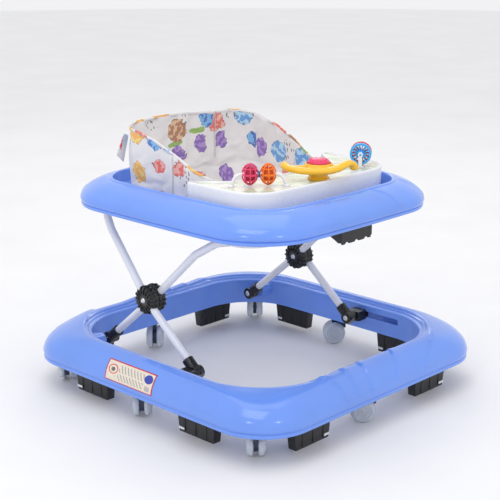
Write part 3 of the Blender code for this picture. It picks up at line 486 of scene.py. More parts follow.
    # painted shade: grey mixed into the gaps between threads
    col = k.mix(k.math("MULTIPLY", k.math("SUBTRACT", 1.0, weave_and_gap_shade), 0.16), col, (0.25, 0.24, 0.25))
    col = k.mix(k.remap(slub.outputs["Fac"], 0.55, 0.75, 0.0, 0.08), col, (0.45, 0.44, 0.45))
    k.link(col, k.b.inputs["Base Color"])
    k.link(k.remap(slub.outputs["Fac"], 0.3, 0.7, 0.78, 0.92), k.b.inputs["Roughness"])
    crease = k.noise(k.coords("Object", scale=(1, 1, 0.5)), 34.0, 3.0)
    nrm = k.bump(crease.outputs["Fac"], 0.16, 0.004)
    nrm = k.bump(weave_and_gap_shade, 0.35, 0.00025, nrm)
    k.link(nrm, k.b.inputs["Normal"])
    k.set(Sheen_Weight=0.25, Sheen_Roughness=0.45, Subsurface_Weight=0.06, Subsurface_Scale=0.003)
    return k.m


def label_material():
    """A cream sticker: red border, slanted grey rules, a ring, a blue spot. It carries no words."""
    k = Mat("label_cream")
    tc = k.node("ShaderNodeTexCoord")
    sep = k.node("ShaderNodeSeparateXYZ")
    k.link(tc.outputs["UV"], sep.inputs[0])
    u, v = sep.outputs["X"], sep.outputs["Y"]
    n = k.noise(tc.outputs["UV"], 12.0, 4.0)
    col = k.ramp(n.outputs["Fac"], ((0.3, (0.74, 0.66, 0.55)), (0.7, (0.84, 0.77, 0.66))))

    def inside(x, lo, hi):
        return k.math("MULTIPLY", k.math("GREATER_THAN", x, lo), k.math("LESS_THAN", x, hi))

    slant = k.math("FRACT", k.math("MULTIPLY", k.math("ADD", u, k.math("MULTIPLY", v, 0.22)), 15.0))
    stripes = k.math("MULTIPLY", k.math("LESS_THAN", slant, 0.36), k.math("MULTIPLY", inside(u, 0.26, 0.80), inside(v, 0.14, 0.86)))
    gap = k.math("SUBTRACT", 1.0, inside(v, 0.46, 0.54))
    col = k.mix(k.math("MULTIPLY", k.math("MULTIPLY", stripes, gap), 0.75), col, (0.26, 0.27, 0.29))

    def disc(cx, cy, r, inner=0.0):
        dx = k.math("MULTIPLY", k.math("SUBTRACT", u, cx), 2.35)
        dy = k.math("SUBTRACT", v, cy)
        d = k.math("SQRT", k.math("ADD", k.math("MULTIPLY", dx, dx), k.math("MULTIPLY", dy, dy)))
        return k.math("MULTIPLY", k.math("LESS_THAN", d, r), k.math("GREATER_THAN", d, inner))

    col = k.mix(disc(0.145, 0.60, 0.23, 0.185), col, (0.72, 0.04, 0.04))
    col = k.mix(disc(0.145, 0.60, 0.10), col, (0.16, 0.15, 0.15))
    col = k.mix(disc(0.885, 0.70, 0.20), col, (0.03, 0.06, 0.40))
    col = k.mix(k.math("MULTIPLY", k.math("MULTIPLY", inside(u, 0.84, 0.94), inside(v, 0.12, 0.36)), 0.6), col, (0.28, 0.30, 0.36))
    edge = k.math("MULTIPLY", inside(u, 0.018, 0.982), inside(v, 0.045, 0.955))
    col = k.mix(edge, (0.70, 0.03, 0.04), col)
    k.link(col, k.b.inputs["Base Color"])
    k.link(k.remap(n.outputs["Fac"], 0.3, 0.7, 0.26, 0.40), k.b.inputs["Roughness"])
    return k.m


M["wheel"] = wheel_material()
M["tray"] = tray_material()
M["fabric"] = fabric_material()
M["label"] = label_material()


def keep(node, mat, bevel=0.0007, segments=2, angle=38):
    """A CAD node whose shape is right: finished edges and a full material."""
    o = NODES[node]
    o.data.materials.clear()
    o.data.materials.append(M[mat])
    o.modifiers.new("join", "WELD").merge_threshold = 1e-5
    if bevel:
        m = o.modifiers.new("edges", "BEVEL")
        m.width = bevel
        m.segments = segments
        m.limit_method = "ANGLE"
        m.angle_limit = math.radians(angle)
        m.harden_normals = False
        m.use_clamp_overlap = True
    o.data.shade_smooth()
    w = o.modifiers.new("normals", "WEIGHTED_NORMAL")
    w.weight = 60


# ============================================================ rings
BASE_X, BASE_Y = 0.325, 0.335
TOP_X, TOP_FRONT, TOP_BACK = 0.259, -0.2674, 0.2866


def plan_fine(hx, y0, y1, r, bulge=0.0, corner=22, side_x=110, side_y=60):
    """(x, y, outward normal) round a rounded rectangle, dense on the two short rails."""
    corners = ((hx - r, y1 - r, 0), (-hx + r, y1 - r, 90), (-hx + r, y0 + r, 180), (hx - r, y0 + r, 270))
    ring = []
    for n, (cx, cy, start) in enumerate(corners):
        for k in range(corner + 1):
            a = math.radians(start + 90 * k / corner)
            ring.append((cx + r * math.cos(a), cy + r * math.sin(a), math.cos(a), math.sin(a)))
        nx, ny, ns = corners[(n + 1) % 4]
        a = math.radians(ns)
        end = (nx + r * math.cos(a), ny + r * math.sin(a))
        last = ring[-1]
        steps = side_x if n in (0, 2) else side_y
        for k in range(1, steps):
            t = k / steps
            ring.append((last[0] + (end[0] - last[0]) * t, last[1] + (end[1] - last[1]) * t, math.cos(a), math.sin(a)))
    mid, half = (y0 + y1) / 2, (y1 - y0) / 2
    out = []
    for x, y, nx, ny in ring:
        v, u = (y - mid) / half, x / hx
        dx = bulge * max(0.0, 1 - v * v) * (1 if x > 0 else -1) * abs(u) ** 4
        dy = bulge * max(0.0, 1 - u * u) * (1 if v > 0 else -1) * abs(v) ** 4
        out.append((x + dx, y + dy, nx, ny))
    return out


def scales(x, y, lines, height, width, edge=0.0016):
    """Overlapping moulded bands. Each line runs from its inner end to its outer end with a slight bow;
    the surface rises sharply on its +X side and falls away over width. The far rail has the same bands turned half a turn."""
    if y > 0:
        x, y = -x, -y
    total = 0.0
    for (ix, iy), (ox, oy), bow in lines:
        dx, dy = ox - ix, oy - iy
        length = math.hypot(dx, dy)
        s = ((x - ix) * dx + (y - iy) * dy) / length ** 2
        if not -0.35 < s < 1.35:
            continue
        d = ((x - ix) * -dy + (y - iy) * dx) / length - bow * (1 - (2 * s - 1) ** 2)
        h = smoothstep(-edge, edge, d) * max(0.0, 1 - max(0.0, d) / width) ** 1.4
        total = max(total, height * h * smoothstep(-0.35, 0.0, s) * (1 - smoothstep(1.0, 1.35, s)))
    return total


def section_points(rows, steps=5):
    """rows of (inset, z, r, sharp): a smooth run, broken at rows marked sharp."""
    runs, cur = [], []
    for row in rows:
        cur.append(Vector(row[:3]))
        if row[3]:
            runs.append(cur)
            cur = [Vector(row[:3])]
    runs.append(cur)
    out = []
    for run in runs:
        if len(run) < 2:
            continue
        pts = spline(run, steps) if len(run) > 2 else [run[0], run[0].lerp(run[1], 0.5), run[1]]
        out += pts if not out else pts[1:]
    return out


BASE_OUT = section_points([
    (0.0050, 0.0556, 0.0990, 0), (0.0022, 0.0562, 0.1010, 0), (0.0012, 0.0580, 0.1020, 0), (0.0012, 0.0622, 0.1030, 0), (0.0022, 0.0634, 0.1030, 1),
    (0.0024, 0.0646, 0.1030, 1), (0.0006, 0.0672, 0.1035, 0), (0.0004, 0.0740, 0.1042, 0), (0.0048, 0.0890, 0.1060, 0),
    (0.0140, 0.1035, 0.1130, 0), (0.0270, 0.1145, 0.1260, 0), (0.0385, 0.1190, 0.1395, 0), (0.0455, 0.1193, 0.1410, 0), (0.0490, 0.1180, 0.1400, 1),
    (0.0505, 0.1150, 0.1390, 0), (0.0520, 0.1142, 0.1380, 1), (0.0555, 0.1140, 0.1320, 1), (0.0570, 0.1118, 0.1300, 0), (0.0590, 0.1110, 0.1270, 1),
    (0.0625, 0.1108, 0.1225, 0), (0.0646, 0.1092, 0.1203, 0), (0.0650, 0.1060, 0.1200, 0), (0.0650, 0.0860, 0.1200, 0), (0.0650, 0.0600, 0.1200, 0), (0.0648, 0.0580, 0.1200, 0)])
BASE_BACK = [Vector(p) for p in ((0.0620, 0.0580, 0.1190), (0.0620, 0.1060, 0.1190), (0.0560, 0.1090, 0.1280), (0.0500, 0.1115, 0.1360),
             (0.0405, 0.1160, 0.1380), (0.0285, 0.1112, 0.1230), (0.0165, 0.1008, 0.1100), (0.0078, 0.0870, 0.1030), (0.0036, 0.0720, 0.1010), (0.0044, 0.0560, 0.1000))]
BASE_BANDS = [((-0.160, -0.270), (-0.115, -0.335), 0.006), ((-0.090, -0.270), (-0.088, -0.335), 0.008), ((-0.042, -0.270), (-0.047, -0.335), 0.008),
              ((0.059, -0.270), (0.024, -0.335), 0.010), ((0.2385, -0.231), (0.127, -0.327), 0.012)]
N_OUT = len(BASE_OUT)


def base_surface():
    loops = []
    for i, (inset, z, r) in enumerate(BASE_OUT + BASE_BACK):
        slope = smoothstep(0.0, 0.035, inset)
        shown = i < N_OUT and z > 0.0650 and inset < 0.064
        fade = smoothstep(0.065, 0.078, z) * (1 - 0.85 * smoothstep(0.050, 0.060, inset)) if shown else 0.0
        loop = []
        for x, y, nx, ny in plan_fine(BASE_X - inset, -BASE_Y + inset, BASE_Y - inset, r):
            h = scales(x, y, BASE_BANDS, 0.0034, 0.044) * fade if fade else 0.0
            out = 0.0 if inset < 0.002 else h * (1 - slope) * 0.7
            loop.append((x + nx * out, y + ny * out, z + h * (0.25 + 0.75 * slope)))
        loops.append(loop)
    return loops


bm = bmesh.new()
bm_loft(bm, base_surface(), close=True)
mesh = to_mesh(bm, "base_shell")
base_shell = bpy.data.objects.new("tmp_base", mesh)
scene.collection.objects.link(base_shell)


def cutter(name, bm):
    o = bpy.data.objects.new(name, to_mesh(bm, name))
    scene.collection.objects.link(o)
    o.hide_render = True
    return o


bm = bmesh.new()
for s in (-1, 1):
    lo, hi = sorted((s * 0.2500, s * 0.2700))
    bm_box(bm, (lo, -0.1570, 0.0860), (hi, -0.0450, 0.0980), bevel=0.0)
slots = cutter("cut_slots", bm)
modified(base_shell, ("BOOLEAN", {"object": slots, "operation": "DIFFERENCE", "solver": "EXACT"}))
mesh = base_shell.data.copy()
for o in (base_shell, slots):
    bpy.data.objects.remove(o, do_unlink=True)
base_shell = link("base_shell", mesh, "base", M["blue"], ("base_ring",), 32)

# bosses under the rail: castor sockets with ribs, brake-block pads, the two rear pivot bosses
CASTORS = {"front_left": (-0.272, -0.262, 44), "front_right": (0.272, -0.262, 140), "back_left": (-0.272, 0.262, 44), "back_right": (0.272, 0.262, 44),
           "mid_front": (0.0, -0.300, 135), "mid_back": (0.0, 0.300, 224), "mid_left": (-0.290, 0.015, 44), "mid_right": (0.290, 0.015, 134)}
BLOCKS = {"front_left": (-0.172, -0.297, "x"), "front_right": (0.172, -0.297, "x"), "back_left": (-0.172, 0.297, "x"), "back_right": (0.172, 0.297, "x"),
          "left_front": (-0.287, -0.140, "y"), "left_back": (-0.287, 0.150, "y"), "right_front": (0.287, -0.140, "y"), "right_back": (0.287, 0.150, "y")}
bm = bmesh.new()
for key, (x, y, _) in CASTORS.items():
    bm_turn(bm, [(0.0054, 0.0555), (0.0120, 0.0552), (0.0125, 0.0565), (0.0118, 0.0800), (0.0112, 0.1080), (0.0054, 0.1080)], Matrix.Translation((x, y, 0)), 32)
    for q in range(4):
        m = Matrix.Translation((x, y, 0)) @ Matrix.Rotation(math.pi / 4 + q * math.pi / 2, 4, "Z")
        bm_box(bm, (0.0105, -0.0009, 0.0620), (0.0190, 0.0009, 0.1000), m, 0.0004)
for key, (x, y, way) in BLOCKS.items():
    hx, hy = (0.034, 0.0105) if way == "x" else (0.0105, 0.034)
    bm_box(bm, (x - hx, y - hy, 0.0600), (x + hx, y + hy, 0.1060), bevel=0.0012)
for s in (-1, 1):
    m = Matrix.Translation((s * 0.224, 0.205, 0.092)) @ Matrix.Rotation(math.pi / 2 * s, 4, "Y")
    bm_turn(bm, [(0.0034, 0.0), (0.0130, 0.0), (0.0142, 0.0012), (0.0152, 0.0360), (0.0034, 0.0360)], m, 32)
    bm_box(bm, (min(s * 0.226, s * 0.262), 0.1915, 0.0800), (max(s * 0.226, s * 0.262), 0.2185, 0.1050), bevel=0.002)
link("base_bosses", to_mesh(bm, "base_bosses"), "base", M["blue"], ())

# sticker on the left rail, laid on the outer slope
slope_part = [(q.y, q.x) for q in BASE_OUT if 0.0675 < q.y < 0.1190 and q.x < 0.0384]
SLOPE_Z, SLOPE_IN = [q[0] for q in slope_part], [q[1] for q in slope_part]
bm = bmesh.new()
uv = bm.loops.layers.uv.new("UVMap")
grid = []
for j in range(13):
    row = []
    for i in range(25):
        u, v = i / 24, j / 12
        zt = 0.0735 + (0.1078 - 0.0735) * v
        ins = float(np.interp(zt, SLOPE_Z, SLOPE_IN))
        rise = float(np.interp(zt + 0.0015, SLOPE_Z, SLOPE_IN)) - float(np.interp(zt - 0.0015, SLOPE_Z, SLOPE_IN))
        nrm = Vector((-0.003, 0, rise)).normalized()
        y = 0.0775 - u * 0.130 + v * 0.001
        row.append((bm.verts.new(Vector((-(BASE_X - ins), y, zt)) + nrm * 0.0005), u, v))
    grid.append(row)
for j in range(12):
    for i in range(24):
        quad = (grid[j][i], grid[j][i + 1], grid[j + 1][i + 1], grid[j + 1][i])
        face = bm.faces.new([q[0] for q in quad])
        for loop, q in zip(face.loops, quad):
            loop[uv].uv = (q[1], q[2])
mesh = bpy.data.meshes.new("rail_label")
bm.to_mesh(mesh)
bm.free()
label = link("rail_label", mesh, "base", M["label"])
sol = label.modifiers.new("thick", "SOLIDIFY")
sol.thickness = 0.0003
sol.offset = 0

# ---------------- upper ring
TOP_OUT = [  # (kind, values, sharp)
    (0.0072, 0.3646, 0.1100), (0.0034, 0.3652, 0.1130), (0.0018, 0.3668, 0.1150), (0.0016, 0.3710, 0.1160), "s", (0.0030, 0.3722, 0.1160), "s", (0.0010, 0.3745, 0.1168),
    (0.0004, 0.3800, 0.1168), (0.0052, 0.3905, 0.1140), (0.0180, 0.4020, 0.1060), (0.0320, 0.4094, 0.0945), (0.0430, 0.4132, 0.0850), (0.0490, 0.4142, 0.0805), "s", (0.0500, 0.4156, 0.0800), "s", (0.0530, 0.4166, 0.0775), (0.0560, 0.4164, 0.0750), (0.0578, 0.4148, 0.0735), (0.0584, 0.4120, 0.0730)]


def top_ring(p, steps=(22, 110, 60)):
    inset, z, r = p
    return [(x, y, z, nx, ny, inset) for x, y, nx, ny in plan_fine(TOP_X - inset, TOP_FRONT + inset, TOP_BACK - inset, r, 0.006)]


def inner_ring(hx, y0, y1, z, r):
    return [(x, y, z, nx, ny, 1.0) for x, y, nx, ny in plan_fine(hx, y0, y1, r)]


rows = []
cur = []
for item in TOP_OUT:
    if item == "s":
        rows.append(cur)
        cur = [cur[-1]]
    else:
        cur.append(item)
rows.append(cur)
outer = []
for run in rows:
    pts = spline(run, 5) if len(run) > 2 else [Vector(run[0]), Vector(run[1])]
    outer += pts if not outer else pts[1:]
loops = [top_ring(p) for p in outer]
loops += [inner_ring(0.2004, -0.2091, 0.2283, 0.3950, 0.0725), inner_ring(0.1996, -0.2080, 0.2274, 0.3932, 0.0718), inner_ring(0.1980, -0.2055, 0.2255, 0.3926, 0.0700),
          inner_ring(0.1870, -0.1815, 0.2135, 0.3912, 0.0610), inner_ring(0.1845, -0.1785, 0.2105, 0.3903, 0.0585), inner_ring(0.1840, -0.1780, 0.2100, 0.3890, 0.0580),
          inner_ring(0.1840, -0.1780, 0.2100, 0.3745, 0.0580), inner_ring(0.1850, -0.1790, 0.2110, 0.3740, 0.0590), inner_ring(0.1866, -0.1806, 0.2126, 0.3745, 0.0605), inner_ring(0.1870, -0.1810, 0.2130, 0.3880, 0.0610), inner_ring(0.2035, -0.2125, 0.2315, 0.3900, 0.0750)]
loops += [top_ring(p) for p in ((0.0550, 0.4115, 0.0752), (0.0520, 0.4130, 0.0775), (0.0440, 0.4100, 0.0840), (0.0340, 0.4062, 0.0930), (0.0195, 0.3983, 0.103), (0.0080, 0.3883, 0.110), (0.0034, 0.3780, 0.113), (0.0046, 0.3655, 0.112))]
TOP_BANDS = [((-0.037, -0.218), (-0.109, -0.262), 0.006), ((0.054, -0.218), (0.100, -0.270), 0.008), ((0.164, -0.200), (0.205, -0.262), 0.010)]
out = []
for i, loop in enumerate(loops):
    new = []
    for x, y, z, nx, ny, inset in loop:
        slope = smoothstep(0.0, 0.035, inset)
        h = 0.0
        if i < len(outer) and z > 0.373:
            h = scales(x, y, TOP_BANDS, 0.0020, 0.040) * smoothstep(0.373, 0.386, z) * (1 - smoothstep(0.042, 0.050, inset))
        o = 0.0 if inset < 0.002 else h * (1 - slope) * 0.7
        new.append((x + nx * o, y + ny * o, z + h * (0.25 + 0.75 * slope)))
    out.append(new)
bm = bmesh.new()
bm_loft(bm, out, close=True)
for s in (-1, 1):
    for a, b in ((0.1990, 0.2078), (0.2325, 0.2440)):
        lo, hi = sorted((s * a, s * b))
        bm_box(bm, (lo, 0.172, 0.3680), (hi, 0.194, 0.3900), bevel=0.0012)
bm_box(bm, (-0.030, -0.2420, 0.3832), (0.030, -0.2170, 0.3960), bevel=0.001)
link("upper_shell", to_mesh(bm, "upper_shell"), "top", M["blue"], ("upper_ring",), 32)

# ============================================================ leg tubes
A_RUN = [(-0.0600, 0.0920), (0.0725, 0.2030), (0.170, 0.3240), (0.1810, 0.3480), (0.1830, 0.3810)]
B_RUN = [(0.2050, 0.0920), (0.0725, 0.2030), (-0.0400, 0.3080), (-0.0980, 0.3420), (-0.1340, 0.3510)]
LEG_A_X, LEG_B_X, R_TUBE = 0.2200, 0.2005, 0.0075


def short(run, start=0.0, end=0.0):
    pts = [Vector((0, *p)) for p in run]
    if start:
        pts[0] = pts[0] + (pts[1] - pts[0]).normalized() * start
    if end:
        pts[-1] = pts[-1] + (pts[-2] - pts[-1]).normalized() * end
    return [(p.y, p.z) for p in pts]


def densify(points, step=0.012):
    out = [Vector(points[0])]
    for a, b in zip(points, points[1:]):
        n = max(1, int((Vector(b) - Vector(a)).length / step))
        out += [Vector(a).lerp(Vector(b), k / n) for k in range(1, n + 1)]
    return out


leg_a = rounded([(0, y, z) for y, z in short(A_RUN, 0.0115, 0.0115)], 0.060, 10)
for side, s in (("left", -1), ("right", 1)):
    bm = bmesh.new()
    bm_tube(bm, densify([(s * LEG_A_X, p.y, p.z) for p in leg_a]), R_TUBE, 24)
    link("side_tube_" + side, to_mesh(bm, "side_tube"), "side_legs", M["paint"], ("side_leg_" + side,), 50)
leg_b = rounded([(-LEG_B_X, y, z) for y, z in short(B_RUN, 0.0115)], 0.055, 10)
arc = [Vector((-LEG_B_X + 0.050 * (1 - math.cos(math.radians(a))), -0.134 - 0.050 * math.sin(math.radians(a)), 0.3510)) for a in range(6, 91, 6)]
leg_b = leg_b + arc
leg_b = leg_b + [Vector((-p.x, p.y, p.z)) for p in reversed(leg_b)]
bm = bmesh.new()
bm_tube(bm, densify(leg_b), R_TUBE, 24)
link("u_frame_tube", to_mesh(bm, "u_frame_tube"), "rear_frame", M["paint"], ("leg_frame_rear_to_front",), 50)

# ============================================================ scissor hubs: ribbed, ball-like halves
for side, s in (("left", -1), ("right", 1)):
    for tag, x_mid, body in (("outer", LEG_A_X, "side_legs"), ("inner", LEG_B_X, "rear_frame")):
        face = s if tag == "outer" else -s            # the side that is seen
        m = Matrix.Translation((s * x_mid, 0.0725, 0.2030)) @ Matrix.Rotation(math.pi / 2 * face, 4, "Y")
        bm = bmesh.new()
        bm_turn(bm, [(1e-5, -0.0093), (0.0235, -0.0093), (0.0252, -0.0080), (0.0256, -0.0030), (0.0240, -0.0015), (0.0240, 0.0010), (0.0256, 0.0022), (0.0250, 0.0052),
                     (0.0226, 0.0066), (0.0222, 0.0080), (0.0196, 0.0088), (0.0150, 0.0078), (0.0120, 0.0078), (0.0112, 0.0094), (1e-5, 0.0096)], m, 64)
        for q in range(16):
            mq = m @ Matrix.Rotation(2 * math.pi * q / 16, 4, "Z")
            pts = [mq @ Vector(p) for p in ((0.0252, 0, -0.0085), (0.0264, 0, -0.0010), (0.0256, 0, 0.0052), (0.0226, 0, 0.0086), (0.0170, 0, 0.0098), (0.0118, 0, 0.0094))]
            bm_tube(bm, spline(pts, 4), 0.0015, 8)
        link("hub_%s_%s" % (tag, side), to_mesh(bm, "hub"), body, M["black"], ("scissor_hub_%s_%s" % (tag, side),), 40)
    keep("hub_rivet_" + side, "steel", 0.0004)

# ============================================================ castors
half = [(1e-5, -0.0180), (0.0030, -0.0180), (0.0034, -0.0172), (0.0070, -0.0170), (0.0076, -0.0178), (0.0092, -0.0178), (0.0098, -0.0170), (0.0150, -0.0166), (0.0160, -0.0175), (0.0178, -0.0176), (0.0204, -0.0164), (0.0222, -0.0146),
        (0.0236, -0.0122), (0.0240, -0.0100), (0.0238, -0.0074), (0.0226, -0.0054), (0.0210, -0.0048), (0.0030, -0.0048)]
for key, (x, y, heading) in CASTORS.items():
    a = math.radians(heading)
    cx, cy = x + 0.018 * math.cos(a), y + 0.018 * math.sin(a)
    across = Vector((-math.sin(a), math.cos(a), 0))
    place = Matrix.Translation((cx, cy, 0.0240)) @ across.to_track_quat("Z", "Y").to_matrix().to_4x4()
    bm = bmesh.new()
    bm_turn(bm, half + [(r, -z) for r, z in reversed(half)], place, 48)
    for side in (-1, 1):
        for q in range(5):
            mq = place @ Matrix.Rotation(2 * math.pi * q / 5, 4, "Z")
            bm_box(bm, (0.0096, -0.0010, side * 0.0173 - 0.0007), (0.0154, 0.0010, side * 0.0173 + 0.0005), mq, 0.0003)
    link("wheels_" + key, to_mesh(bm, "wheels"), "wheels_" + key, M["wheel"], ("castor_wheels_" + key,), 35)
    keep("castor_fork_" + key, "navy", 0.0006)

for key, (bx, by, way) in BLOCKS.items():
    lo, hi = (Vector(q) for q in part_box("brake_block_" + key))
    along = 0 if way == "x" else 1
    mid = (lo + hi) / 2
    half_l, half_w = (hi[along] - lo[along]) / 2, (hi[1 - along] - lo[1 - along]) / 2
    m = Matrix.Translation((mid.x, mid.y, 0)) @ (Matrix.Identity(4) if way == "x" else Matrix.Rotation(math.pi / 2, 4, "Z"))
    top, bottom = hi.z, lo.z
    body_top = top - 0.0075

    def narrow(p):
        f = (body_top - p.z) / (body_top - bottom)
        return Vector((p.x * (1 - 0.085 * f), p.y * (1 - 0.16 * f), p.z))

    bm = bmesh.new()
    bm_box(bm, (-half_l, -half_w, body_top - 0.0005), (half_l, half_w, top - 0.0002), m, 0.0012)
    bm_box(bm, (-half_l * 0.955, -half_w * 0.93, bottom), (half_l * 0.955, half_w * 0.93, body_top), m, 0.0018, narrow)
    for s in (-1, 1):
        for q in range(3):
            x0 = -half_l * 0.55 + q * half_l * 0.55
            bm_box(bm, (x0 - 0.0007, s * half_w * 0.86 - 0.0010, bottom + 0.004), (x0 + 0.0007, s * half_w * 0.86 + 0.0010, body_top - 0.001), m, 0.0003)
    link("brake_pad_" + key, to_mesh(bm, "brake_pad"), "base", M["rubber"], ("brake_block_" + key,), 35)
    bm = bmesh.new()
    bm_box(bm, (half_l * 0.60, -half_w * 0.935, bottom + 0.0060), (half_l * 0.88, -half_w * 0.78, bottom + 0.0105), m, 0.0005)
    bm_box(bm, (half_l * 0.60, half_w * 0.78, bottom + 0.0060), (half_l * 0.88, half_w * 0.935, bottom + 0.0105), m, 0.0005)
    link("brake_clip_" + key, to_mesh(bm, "brake_clip"), "base", M["white"], (), 35)
for side in ("left", "right"):
    for n in ("rear_foot_cap_", "front_foot_cap_", "top_pivot_cap_"):
        keep(n + side, "black", 0.0009, 3)
    for n in ("rear_foot_pin_", "front_foot_pin_"):
        keep(n + side, "steel", 0.0004)
    keep("slider_block_" + side, "black", 0.0008)
keep("height_adjuster", "matt_black", 0.0009)

# ============================================================ toy tray
TRAY_W, TRAY_FRONT, TRAY_ARM_Y, TRAY_CORNER = 0.194, -0.1845, -0.0140, 0.062


def tray_outline(offset, z):
    w, f, r = TRAY_W, TRAY_FRONT, TRAY_CORNER
    pts = [(-w, TRAY_ARM_Y - 0.005), (-w, TRAY_ARM_Y - 0.02), (-w, -0.06), (-w, -0.09)]
    for k in range(25):
        a = math.radians(180 + 90 * k / 24)
        pts.append((-w + r + r * math.cos(a), f + r + r * math.sin(a)))
    for k in range(1, 24):
        pts.append((-(w - r) + 2 * (w - r) * k / 24, f))
    for k in range(25):
        a = math.radians(270 + 90 * k / 24)
        pts.append((w - r + r * math.cos(a), f + r + r * math.sin(a)))
    pts += [(w, -0.09), (w, -0.06), (w, TRAY_ARM_Y - 0.02), (w, TRAY_ARM_Y - 0.005)]
    for k in range(5):
        a = math.radians(90 * k / 4)
        pts.append((w - 0.004 + 0.004 * math.cos(a), TRAY_ARM_Y - 0.004 + 0.004 * math.sin(a)))
    inner = 0.176
    for k in range(49):
        x = inner * math.cos(math.pi * k / 48)
        pts.append((x, -0.090 + 0.076 * (abs(x) / inner) ** 3.6))
    for k in range(5):
        a = math.radians(90 + 90 * k / 4)
        pts.append((-w + 0.004 + 0.004 * math.cos(a), TRAY_ARM_Y - 0.004 + 0.004 * math.sin(a)))
    pts = [(x, y - 0.006 * max(0.0, 1 - (x / w) ** 2) * (1 if y < f + 0.03 else 0)) for x, y in pts]
    keep_pts = [pts[0]]
    for p in pts[1:]:
        if (Vector(p) - Vector(keep_pts[-1])).length > 1e-5:
            keep_pts.append(p)
    pts = keep_pts
    res, n = [], len(pts)
    for i, (x, y) in enumerate(pts):
        a, b, p = Vector(pts[i - 1]), Vector(pts[(i + 1) % n]), Vector((x, y))
        d1, d2 = (p - a).normalized(), (b - p).normalized()
        n1, n2 = Vector((d1.y, -d1.x)), Vector((d2.y, -d2.x))
        m = (n1 + n2).normalized()
        m = m / max(0.5, m.dot(n1))
        near_tip = smoothstep(-0.045, -0.022, y)
        q = p + m * (offset + (max(offset, -0.0036) - offset) * near_tip)
        res.append((q.x, q.y, z))
    return res


TRAY_ROWS = [(-0.0010, 0.3966), (0.0006, 0.3963), (0.0006, 0.3978), (-0.0010, 0.3990), (-0.0008, 0.4010), (0.0, 0.4345), (-0.0002, 0.4366), (-0.0012, 0.4384), (-0.0028, 0.4393), (-0.0046, 0.4393), (-0.0056, 0.4386),
             (-0.0062, 0.4374), (-0.0068, 0.4368), (-0.0078, 0.4366)]
TRAY_UNDER = [(-0.0030, 0.3966), (-0.0030, 0.4310), (-0.0036, 0.4338), (-0.0056, 0.4342)]
bm = bmesh.new()
rings = bm_loft(bm, [tray_outline(*r) for r in reversed(TRAY_UNDER)] + [tray_outline(*r) for r in TRAY_ROWS])
for offset, z, up in ((-0.0076, 0.4366, True), (-0.0054, 0.4342, False)):
    # a flat sheet in columns across the tray, from its front edge to its rear edge
    poly = [(q[0], q[1]) for q in tray_outline(offset, z)]
    left, right = min(q[0] for q in poly), max(q[0] for q in poly)
    cols = []
    for x in np.linspace(left + 2e-5, right - 2e-5, 421):
        ys = [y0 + (y1 - y0) * (x - x0) / (x1 - x0) for (x0, y0), (x1, y1) in zip(poly, poly[1:] + poly[:1]) if (x0 - x) * (x1 - x) < 0]
        if len(ys) >= 2:
            cols.append((bm.verts.new((x, min(ys), z)), bm.verts.new((x, max(ys), z))))
    for (a0, a1), (b0, b1) in zip(cols, cols[1:]):
        bm.faces.new((a0, b0, b1, a1) if up else (a0, a1, b1, b0))
tray = link("tray_moulding", to_mesh(bm, "tray"), "top", M["tray"], ("toy_tray",), 30)

# ============================================================ toys
ARCH_A, ARCH_B, ARCH_Z = Vector((-0.160, -0.094, 0)), Vector((-0.086, -0.160, 0)), 0.459
u3 = (ARCH_B - ARCH_A).normalized()
L = (ARCH_B - ARCH_A).length
foot = 0.4368
bm = bmesh.new()
run = rounded([ARCH_A + Vector((0, 0, foot)), ARCH_A + u3 * 0.008 + Vector((0, 0, ARCH_Z)), ARCH_B - u3 * 0.008 + Vector((0, 0, ARCH_Z)), ARCH_B + Vector((0, 0, foot))], 0.020, 10)
bm_tube(bm, densify(run, 0.004), 0.0032, 16)
for p in (ARCH_A, ARCH_B):
    bm_turn(bm, [(1e-5, 0.0), (0.0058, 0.0), (0.0060, 0.0010), (0.0052, 0.0026), (0.0036, 0.0040), (1e-5, 0.0042)], Matrix.Translation((p.x, p.y, foot)), 24)
link("arch_bar", to_mesh(bm, "arch_bar"), "top", M["white"], ("bead_arch",), 40)

